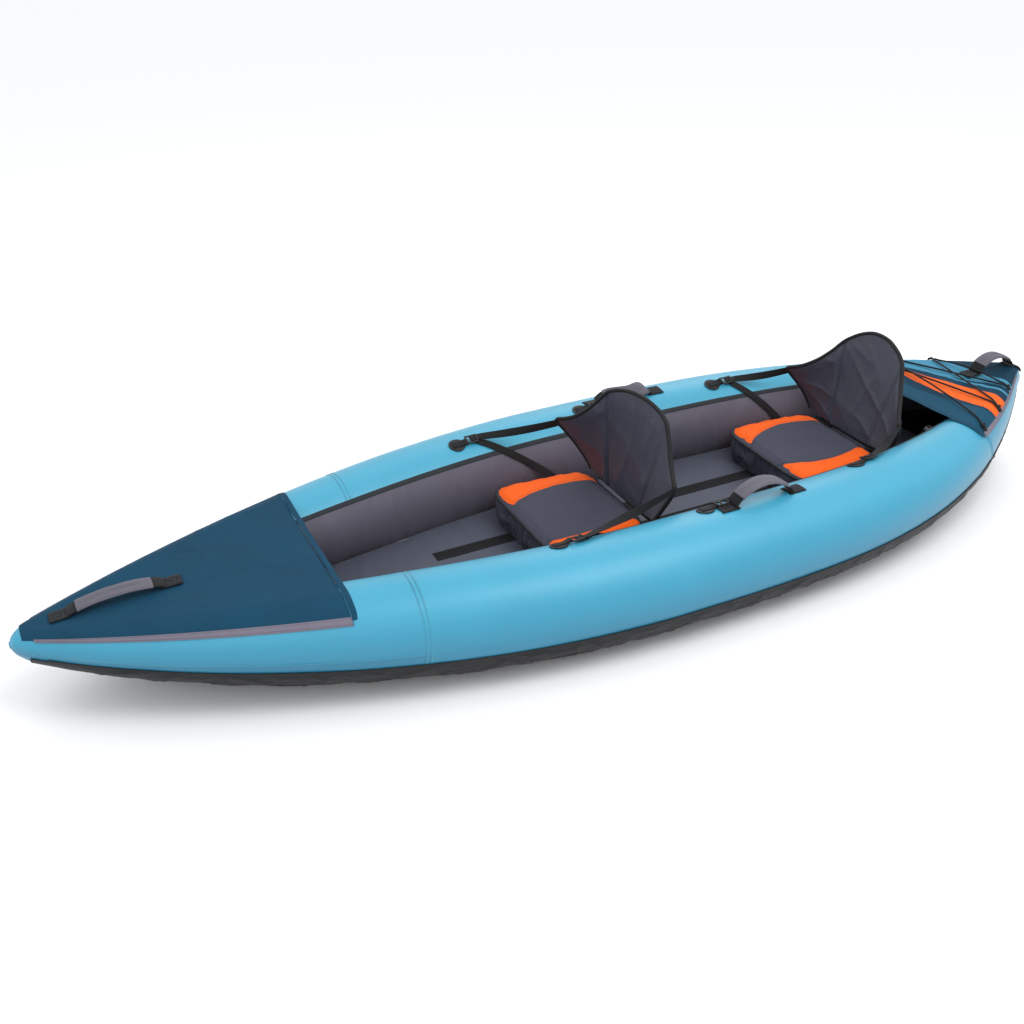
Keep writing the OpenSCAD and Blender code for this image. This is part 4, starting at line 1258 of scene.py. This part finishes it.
def buckle_mesh(name):
    """A ladder-lock: a frame with two slots, a raised lip and rounded edges."""
    xs = [-0.020, -0.014, -0.003, 0.003, 0.014, 0.020]
    ys = [-0.017, -0.0125, 0.0125, 0.017]
    bm = bmesh.new()
    grid = [[[bm.verts.new((x, y, z)) for y in ys] for x in xs] for z in (0, 0.005)]
    solid = [[not (j == 1 and i in (1, 3)) for j in range(3)] for i in range(5)]
    # Each way out of a cell, and the two corners of the wall on that side
    sides = ((-1, 0, (0, 0, 0, 1)), (1, 0, (1, 0, 1, 1)), (0, -1, (0, 0, 1, 0)), (0, 1, (0, 1, 1, 1)))
    for i in range(5):
        for j in range(3):
            if not solid[i][j]:
                continue
            for k in (0, 1):
                g = grid[k]
                face = [g[i][j], g[i + 1][j], g[i + 1][j + 1], g[i][j + 1]]
                bm.faces.new(face if k else face[::-1])
            for di, dj, e in sides:
                ni, nj = i + di, j + dj
                if 0 <= ni < 5 and 0 <= nj < 3 and solid[ni][nj]:
                    continue
                p, q = (i + e[0], j + e[1]), (i + e[2], j + e[3])
                bm.faces.new([grid[k][u][v] for k, (u, v) in ((0, p), (0, q), (1, q), (1, p))])
    bmesh.ops.recalc_face_normals(bm, faces=bm.faces)
    mesh = bpy.data.meshes.new(name)
    bm.to_mesh(mesh)
    bm.free()
    obj = linked(name, mesh)
    bevel = obj.modifiers.new("bevel", "BEVEL")
    bevel.width, bevel.segments = 0.0014, 3
    applied(obj)
    lip_path = np.array([(0.0172, y, 0.0055) for y in np.linspace(-0.014, 0.014, 12)])
    lip_side, lip_up = np.tile([1.0, 0, 0], (12, 1)), np.tile([0, 0, 1.0], (12, 1))
    lip = swept(name + "_lip", lip_path, round_section(0.0023, 12), lip_side, lip_up)
    obj = join([obj, lip], name)
    obj.data.polygons.foreach_set("use_smooth", [True] * len(obj.data.polygons))
    for v in obj.data.vertices:
        v.co.z += 0.0016 * (v.co.x / 0.02) ** 2
    return obj


def add_anchor(name, a):
    rings = patch_rings(name + "_patch_stitches", a)
    place(rings, SKIN["thread"], "hull", "webbing")
    loop = anchor_loop(name + "_anchor_loop", a)
    place(loop, SKIN["webbing"], "hull", "webbing", *(["anchor_tabs"] if name == "front_port" else []))
    buckle = buckle_mesh(name + "_ladder_lock")
    buckle.data.transform(anchor_frame(a, 0.052, 0.0075))
    body = name + "_buckle" if name.startswith("middle") else "hull"
    place(buckle, SKIN["plastic"], body, "black_plastic", name + "_buckle")


for name, a in ANCHORS.items():
    add_anchor(name, a)
painted_node("anchor_patches", "patch")

# ---------- seat cushions ----------

SEATS = {"front": (0.270, 0.009), "rear": (-0.608, 0.004)}
SEAT_DEPTH = 0.356
SEAT_HALF = 0.229
SEAT_LOW = 0.1056
# The top is higher and the corners squarer than in the CAD
SEAT_TOP = 0.209
SEAT_TUCK = 0.1
SEAT_CORNER = 6.0
SEAT_VOXEL = 0.0055
# The cloth simulation's pressure, and how far it may move a point
PRESSURE = 4.0
SWELL = 0.009
# The slate panel's borders, y = a + b t + c t^2 with t = x - x0: starboard, then port
SEAT_BORDERS = {
    "front": ((-0.122, 0.065, 1.52, 0.09), (0.175, 0.024, -0.365, 0.09)),
    "rear": ((-0.147, 0.005, 2.4, -0.80), (0.133, 0.01, -1.6, -0.80)),
}


def superellipse(a, n):
    c, s = np.cos(a), np.sin(a)
    k = (np.abs(c) ** n + np.abs(s) ** n) ** (-1 / n)
    return c * k, s * k


def seat_shell(name, seat):
    """The cushion before it is filled: a little smaller than the finished one."""
    levels = [(0.2, 0), (0.6, 0), (0.95, 0.0), (0.995, 0.06), (1.005, 0.2), (1.01, 0.45), (1.01, 0.70),
              (1.01, 0.86), (1.0, 0.93), (0.955, 0.965), (0.85, 0.975), (0.5, 0.975), (0.25, 0.975),
              (0.05, 0.975)]
    around = 120
    ex, ey = superellipse(np.linspace(0, 2 * np.pi, around, endpoint=False), SEAT_CORNER)
    aft = np.maximum(-ex, 0)
    rings = []
    for scale, h in levels:
        tuck = 0.009 * aft * min(max((h - 0.5) / 0.35, 0), 1)
        x = seat[0] - SEAT_DEPTH / 2 + ex * (SEAT_DEPTH / 2 * scale - 0.003) + tuck
        y = seat[1] + ey * (SEAT_HALF * scale - 0.003) * (1 - SEAT_TUCK * aft)
        rings.append(np.stack([x, y, np.full_like(x, SEAT_LOW + (SEAT_TOP - SEAT_LOW) * h)], -1))
    faces = grid_faces(len(levels), around, wrap=True).tolist()
    faces += [list(range(around - 1, -1, -1)), [(len(levels) - 1) * around + j for j in range(around)]]
    return outward(new_object(name, np.array(rings), faces))


def subdivided(obj):
    obj.modifiers.new("smooth", "SUBSURF").levels = 1
    obj.modifiers["smooth"].render_levels = 1
    return applied(obj)


def filled(obj):
    """Blows a cushion up as cloth, holds each point near its start, and subdivides it once."""
    remesh = obj.modifiers.new("remesh", "REMESH")
    remesh.mode, remesh.voxel_size = "VOXEL", SEAT_VOXEL
    applied(obj)
    start = per_vertex(obj)
    simulate(obj)
    moved = per_vertex(obj) - start
    far = np.linalg.norm(moved, axis=1, keepdims=True)
    set_coordinates(obj, start + moved * np.minimum(1, SWELL / np.maximum(far, 1e-9)))
    return subdivided(obj)


def simulate(obj):
    modifier = obj.modifiers.new("cloth", "CLOTH")
    settings = modifier.settings
    settings.quality = 4
    settings.mass = 0.3
    settings.tension_stiffness = settings.compression_stiffness = 20
    settings.bending_stiffness = 0.6
    settings.use_pressure = True
    settings.uniform_pressure_force = PRESSURE
    settings.effector_weights.gravity = 0
    modifier.collision_settings.use_collision = False
    modifier.collision_settings.use_self_collision = False
    modifier.point_cache.frame_start, modifier.point_cache.frame_end = 1, 20
    scene = bpy.context.scene
    for step in range(1, 21):
        scene.frame_set(step)
        bpy.context.view_layer.update()
    applied(obj)
    scene.frame_set(1)


def groove(distance, width):
    return np.exp(-((distance / width) ** 2))


def border_y(border, x):
    a, b, c, x0 = border
    t = x - x0
    return a + b * t + c * t * t


def seat_details(obj, which, seat):
    """Seams, pleats and soft creases on the filled cushion."""
    co, n = per_vertex(obj), per_vertex(obj, "normal")
    x, y, z = co.T
    front = seat[0]
    top = np.clip((z - SEAT_LOW - 0.03) / 0.05, 0, 1)
    push = np.zeros(len(co))
    for border in SEAT_BORDERS[which]:
        push -= 0.0035 * groove(y - border_y(border, x), 0.005) * top * (x < front - 0.008)
    gusset = np.clip((n[:, 0] - 0.55) / 0.3, 0, 1) * np.clip((0.192 - z) / 0.01, 0, 1)
    pleats = np.abs(noise_at(np.stack([y, z * 0.1, 0 * y], -1), (34, 10, 10), 13 + front)) ** 0.7
    push += gusset * (0.014 * pleats - 0.007)
    sides = np.clip((np.abs(n[:, 1]) - 0.5) / 0.3, 0, 1)
    push += sides * 0.003 * noise_at(co, (14, 4, 9), 17)
    puckers = 0.0010 * noise_at(co, (30, 30, 30), 3) + 0.0016 * ridges(co, (7, 9, 9), 29 + front, 1.4)
    push += (puckers - 0.0015) * np.clip(n[:, 2], 0, 1)
    dent = np.exp(-(((x - seat[0] + 0.2) / 0.11) ** 2) - (((y - seat[1]) / 0.14) ** 2))
    co = co + n * push[:, None]
    co[:, 2] -= 0.003 * dent * np.clip(n[:, 2], 0, 1)
    co[:, 2] = np.maximum(co[:, 2], SEAT_LOW - 0.0004)
    set_coordinates(obj, co)


def surface(obj):
    mesh = obj.data
    return BVHTree.FromPolygons([v.co[:] for v in mesh.vertices], [p.vertices[:] for p in mesh.polygons])


def piping(name, tree, points, r=0.0036):
    """A cord in a fabric sleeve, half sunk in the surface along these points."""
    path = []
    for p in points:
        at, n, _, _ = tree.find_nearest(Vector(p))
        path.append(np.array(at) + np.array(n) * r * 0.45)
    path = resample(smooth_rows(np.array(path), 3), 240)
    return swept_facing(name, path, round_section(r, 10), (0.3, 0.1, 1))


def dropped(tree, places):
    """Points (x, y) dropped on to a surface, and its normals there."""
    hits = [tree.ray_cast(Vector((x, y, 0.4)), Vector((0, 0, -1))) for x, y in places]
    hits = [h for h in hits if h[0] is not None]
    return np.array([h[0][:] for h in hits]), np.array([h[1][:] for h in hits])


def seat_paint(which, seat):
    """A cushion's slate and orange panels, with the dark gusset in front."""

    def paint(m, plain):
        plain = side_paint(m, plain, SEAT_BORDERS[which])
        x, _, z = m.split("Object")
        ahead = m.math("GREATER_THAN", x, seat[0] - 0.04)
        low = m.math("LESS_THAN", z, SEAT_TOP - 0.005)
        return m.mix(m.math("MULTIPLY", ahead, low), plain, GUSSET_GREY)

    return paint


def add_seat_trim(which, seat, tree):
    """Piping along the cushion's front and rear edges, and stitches beside its seams."""
    name = which + "_cushion"
    ey = np.linspace(-0.985, 0.985, 90)
    half = SEAT_HALF - 0.006
    for edge, x, wide, z, way in (("front", seat[0] + 0.002, half, 0.206, -1),
                                  ("rear", seat[0] - SEAT_DEPTH + 0.003, half * (1 - SEAT_TUCK), 0.201, 1)):
        points = np.stack([x + np.abs(ey) ** 12 * 0.020 * way, seat[1] + ey * wide, z + 0 * ey], -1)
        place(piping("%s_%s_piping" % (name, edge), tree, points), SKIN["black_tape"], "hull", "seat_fabric")
    xs = np.linspace(seat[0] - 0.012, seat[0] - SEAT_DEPTH + 0.012, 70)
    for k, border in enumerate(SEAT_BORDERS[which]):
        lines = [[(x, border_y(border, x) + off) for x in xs] for off in (-0.0065, 0.0065)]
        rows, normals = zip(*(dropped(tree, line) for line in lines))
        place(stitches("%s_seam_%d" % (name, k), rows, normals), SKIN["thread"], "hull", "seat_fabric")


def add_seat(which, seat):
    name = which + "_cushion"
    cushion = filled(seat_shell(name, seat))
    seat_details(cushion, which, seat)
    cushion.data.polygons.foreach_set("use_smooth", [True] * len(cushion.data.polygons))
    skin = cloth(name + "_fabric", SLATE, rough=0.7, sheen=0.03, threads=650, where="Object", crease=0.9,
                 vary=0.07, paint=seat_paint(which, seat), gloss=0.12, crease_scale=20)
    place(cushion, skin, "hull", "seat_fabric", which + "_seat_cover", which + "_seat_pad")
    add_seat_trim(which, seat, surface(cushion))


for which, seat in SEATS.items():
    add_seat(which, seat)

# ---------- backrests ----------

HINGE_Z = 0.193
BACK_HEIGHT = 0.340
SEAM = 0.5
# Heights at the seams and tips; half width and the wings' forward reach, at the top and at the foot
BACKS = {
    "front": SimpleNamespace(middle=0.034, seam_height=0.303, tip_height=0.178, top_half=0.220,
                             foot_half=0.190, top_reach=0.068, foot_reach=0.018, recline=0.125, twist=0.36,
                             lean=-0.15),
    "rear": SimpleNamespace(middle=0.006, seam_height=0.282, tip_height=0.162, top_half=0.230,
                            foot_half=0.194, top_reach=0.096, foot_reach=0.018, recline=0.25, twist=0.2,
                            lean=-0.09),
}


def hinge_x(which):
    return SEATS[which][0] - SEAT_DEPTH - 0.005


def back_top(b, s):
    a = np.abs(s)
    low = BACK_HEIGHT - (BACK_HEIGHT - b.seam_height) * (a / SEAM) ** 2
    t = 1 - np.maximum(1 - (a - SEAM) / (1 - SEAM), 0) ** 1.8
    return np.where(a < SEAM, low, b.seam_height + (b.tip_height - b.seam_height) * t)


def back_point(which, s, t):
    """Middle of the panel: s from -1 to 1 across the wings, t from 0 at the foot to 1 at the top."""
    b = BACKS[which]
    s, t = np.broadcast_arrays(np.asarray(s, float), np.asarray(t, float))
    foot = 0.007 + 0.020 * np.maximum((np.abs(s) - 0.4) / 0.6, 0) ** 1.3
    h = foot + (back_top(b, s) - foot) * t
    y = s * (b.foot_half + (b.top_half - b.foot_half) * np.minimum(t * 1.3, 1))
    reach = b.foot_reach + (b.top_reach - b.foot_reach) * np.maximum(t, 0) ** 1.6
    wrap = reach * np.maximum((np.abs(s) - 0.35) / 0.65, 0) ** 1.6
    x = hinge_x(which) - b.recline * (h - 0.007) + wrap - b.twist * y * t
    return np.stack([x, b.middle + y, HINGE_Z + h + b.lean * y * t], -1)


def back_normal(which, s, t):
    ds = back_point(which, s + 0.01, t) - back_point(which, s - 0.01, t)
    dt = back_point(which, s, t + 0.01) - back_point(which, s, t - 0.01)
    return unit(np.cross(ds, dt))


def back_shell(name, which):
    """The backrest's front and back faces joined round the edge."""
    S, T = np.meshgrid(np.linspace(-1, 1, 151), np.linspace(0, 1, 95), indexing="ij")
    base, n = back_point(which, S, T), back_normal(which, S, T)
    rim = np.minimum(1, 6 * (1 - np.abs(S))) * np.minimum(1, np.minimum(7 * (1 - T), 0.5 + 5 * T))
    seams = groove(np.abs(S) - SEAM, 0.035)
    half = 0.0065 * (0.35 + 0.65 * np.sqrt(np.maximum(rim, 0))) * (1 - 0.55 * seams)
    folds = 0.0034 * ridges(base, (8, 11, 3.5), 61, 1.5) + 0.0016 * noise_at(base, (12, 12, 9), 67)
    slanted = base @ np.array([[1, 0, 0], [0, 1, 0.7], [0, 0.5, 1]])
    folds += 0.0042 * ridges(slanted, (4, 4, 13), 71, 1.6)
    folds *= np.clip(rim, 0, 1) * (1 - 0.8 * seams)
    folds -= 0.0022 * groove(np.abs(S) - SEAM, 0.009)
    face = base + n * (half + folds)[..., None]
    rear = base - n * (half + folds * 0.7)[..., None]
    return outward(two_faced(name, face, rear, arc_uv(base))), face, n


def back_edge(which):
    """The backrest's outline: up one wing, over the top and down the other."""
    up = np.linspace(0.0, 0.999, 40)
    over = back_point(which, np.linspace(-1, 1, 120), 1.0)[1:-1]
    return np.vstack([back_point(which, -1.0, up), over, back_point(which, 1.0, up[::-1])])


def edge_frame(path, middle):
    d, _, _ = frames_along(path, (0.1, 0.2, 1))
    out = path - middle
    out = unit(out - d * (out * d).sum(1, keepdims=True))
    out = unit(smooth_rows(out, 6))
    return out, np.cross(d, out)


def add_back(which):
    body = which + "_backrest"
    panel, face, n = back_shell(which + "_back_panel", which)
    place(panel, SKIN["back"], body, "back_fabric", body)
    edge = resample(smooth_rows(back_edge(which), 3), 300)
    out, v = edge_frame(edge, back_point(which, 0.0, 0.35))
    section = round_section(1, 14) * np.array([0.0060, 0.0072])
    wobble = noise_at(edge, (22, 22, 22), 81) * 0.0016
    bind = swept(which + "_back_binding", edge + out * (0.0015 + wobble[:, None]), section, out, v)
    place(bind, SKIN["black_tape"], body, "binding_tape", body + "_binding")
    columns = [int(round((s + 1) / 2 * 150)) for s in (-SEAM - 0.03, -SEAM + 0.03, SEAM - 0.03, SEAM + 0.03)]
    rows = [face[j, 4:90] + n[j, 4:90] * 0.0004 for j in columns]
    thread = stitches(which + "_back_stitches", rows, [n[j, 4:90] for j in columns])
    place(thread, SKIN["thread"], body, "back_fabric")
    add_welt(which)


def add_welt(which):
    """The sewn line at the cushion's rear edge on which the backrest folds, and the flap between them."""
    middle, x = BACKS[which].middle, hinge_x(which)
    y = np.linspace(-0.172, 0.172, 60) + middle
    path = np.stack([np.full_like(y, x), y, np.full_like(y, HINGE_Z)], -1)
    pipe = swept_facing(which + "_hinge_piping", path, round_section(0.0032, 10))
    place(pipe, SKIN["black_tape"], "hull", "binding_tape", which + "_seat_welt")
    s = np.linspace(-0.86, 0.86, 60)
    low, high = back_point(which, s, 0.035), path_like(path, s)
    sag = np.array([-0.0022, 0, 0])
    rows = [high + (low - high) * t + sag * math.sin(math.pi * t) for t in np.linspace(0, 1, 9)]
    flap = outward(sheet_object(which + "_hinge_flap", np.stack(rows, 1)))
    place(flap, SKIN["black_tape"], None, "binding_tape")
    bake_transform(flap)


def path_like(path, s):
    at = (s + 1) / 2 * (len(path) - 1)
    return np.stack([np.interp(at, np.arange(len(path)), path[:, k]) for k in range(3)], -1)


for which in BACKS:
    add_back(which)

# ---------- seat straps ----------

# Where the seat straps are sewn on, as a share of the cushion's depth from its front
SEWN_AT = 0.69


def across_tube(side, angle):
    return np.array([0, side * math.sin(math.radians(angle)), -math.cos(math.radians(angle))])


def ribbon(name, path, widths):
    """Webbing along a path, with the way its width lies at each point."""
    d, _, _ = frames_along(path)
    w = unit(widths - d * (widths * d).sum(1, keepdims=True))
    return swept(name, path, flat_section(0.025, 0.0016), w, np.cross(d, w))


# The strap's way through a buckle: distance aft of the anchor, and height off the tube
THROUGH_BUCKLE = ((0.046, 0.0125), (0.052, 0.0138), (0.058, 0.0128),
                  (0.064, 0.0112), (0.070, 0.0128), (0.075, 0.0128))


def add_back_strap(which, side_name):
    """From the buckle to the wing's tip, with a little slack and a half turn."""
    x, side, angle = ANCHORS["%s_%s" % (which, side_name)]
    start = tube(x - 0.080, angle, 0.0115, side)
    tip = back_point(which, side * 1.0, 0.9)
    n = back_normal(which, side * 1.0, 0.9)
    t = np.linspace(0, 1, 50)
    end = tip - n * 0.0058
    run = start + (end - start) * t[:, None] - np.outer(np.sin(np.pi * t) * 0.005, [0, 0, 1])
    lie_start, lie_end = across_tube(side, angle), -side * unit(tip - back_point(which, side * 1.0, 0.5))
    widths = lie_start * (1 - t[:, None]) + lie_end * t[:, None]
    buckle = [tube(x - ahead, angle, off, side) for ahead, off in THROUGH_BUCKLE]
    tail = back_point(which, side * 0.93, 0.895) - n * 0.0075
    lie = np.vstack([np.tile(lie_start, (len(buckle), 1)), widths, [lie_end]])
    strap = ribbon("%s_%s_back_webbing" % (which, side_name), np.vstack([buckle, run, [tail]]), lie)
    bent(strap, SKIN["webbing"], which + "_backrest", start, tip, "webbing",
         "%s_%s_back_strap" % (which, side_name))


def seat_side(share_back):
    e = 1 - 2 * share_back
    return SEAT_HALF * (1 - abs(e) ** SEAT_CORNER) ** (1 / SEAT_CORNER) * (1 - SEAT_TUCK * max(-e, 0))


def add_seat_strap(which, side_name):
    """From under the buckle, round the inside of the tube, on to the cushion's side."""
    x, side, angle = ANCHORS["%s_%s" % (which, side_name)]
    seat = SEATS[which]
    start_x, end_x = x - 0.060, seat[0] - SEWN_AT * SEAT_DEPTH
    leave_x = start_x + (end_x - start_x) * 0.72
    t = np.linspace(0, 1, 40)
    angles = angle + (158 - angle) * t
    run = np.stack([tube(start_x + (leave_x - start_x) * q, g, 0.0045, side) for q, g in zip(t, angles)])
    wide = np.stack([[1, -side * math.sin(math.radians(g)), math.cos(math.radians(g))] for g in angles])
    y = seat[1] + side * (seat_side(SEWN_AT) + 0.0025)
    top = 0.1795
    down = np.array([[end_x, y + side * 0.0015, top + 0.004], [end_x, y, top - 0.012],
                     [end_x, y, top - 0.028]])
    between = np.linspace(0.15, 0.85, 6)[:, None]
    path = np.vstack([run, run[-1] + (down[0] - run[-1]) * between, down])
    lie = np.vstack([wide, wide[-1] + (np.array([1, 0, 0]) - wide[-1]) * between,
                     np.tile([1.0, 0, 0], (3, 1))])
    strap = ribbon("%s_%s_seat_webbing" % (which, side_name), smooth_rows(path, 4), smooth_rows(lie, 4))
    place(strap, SKIN["webbing"], "hull", "webbing", "%s_%s_seat_strap" % (which, side_name))


for which in SEATS:
    for side_name in ("port", "starboard"):
        add_back_strap(which, side_name)
        add_seat_strap(which, side_name)

# ---------- valves ----------

for name in ("port", "starboard", "floor"):
    painted_node(name + "_valve_base", "valve")
    painted_node(name + "_valve_cap", "plastic")
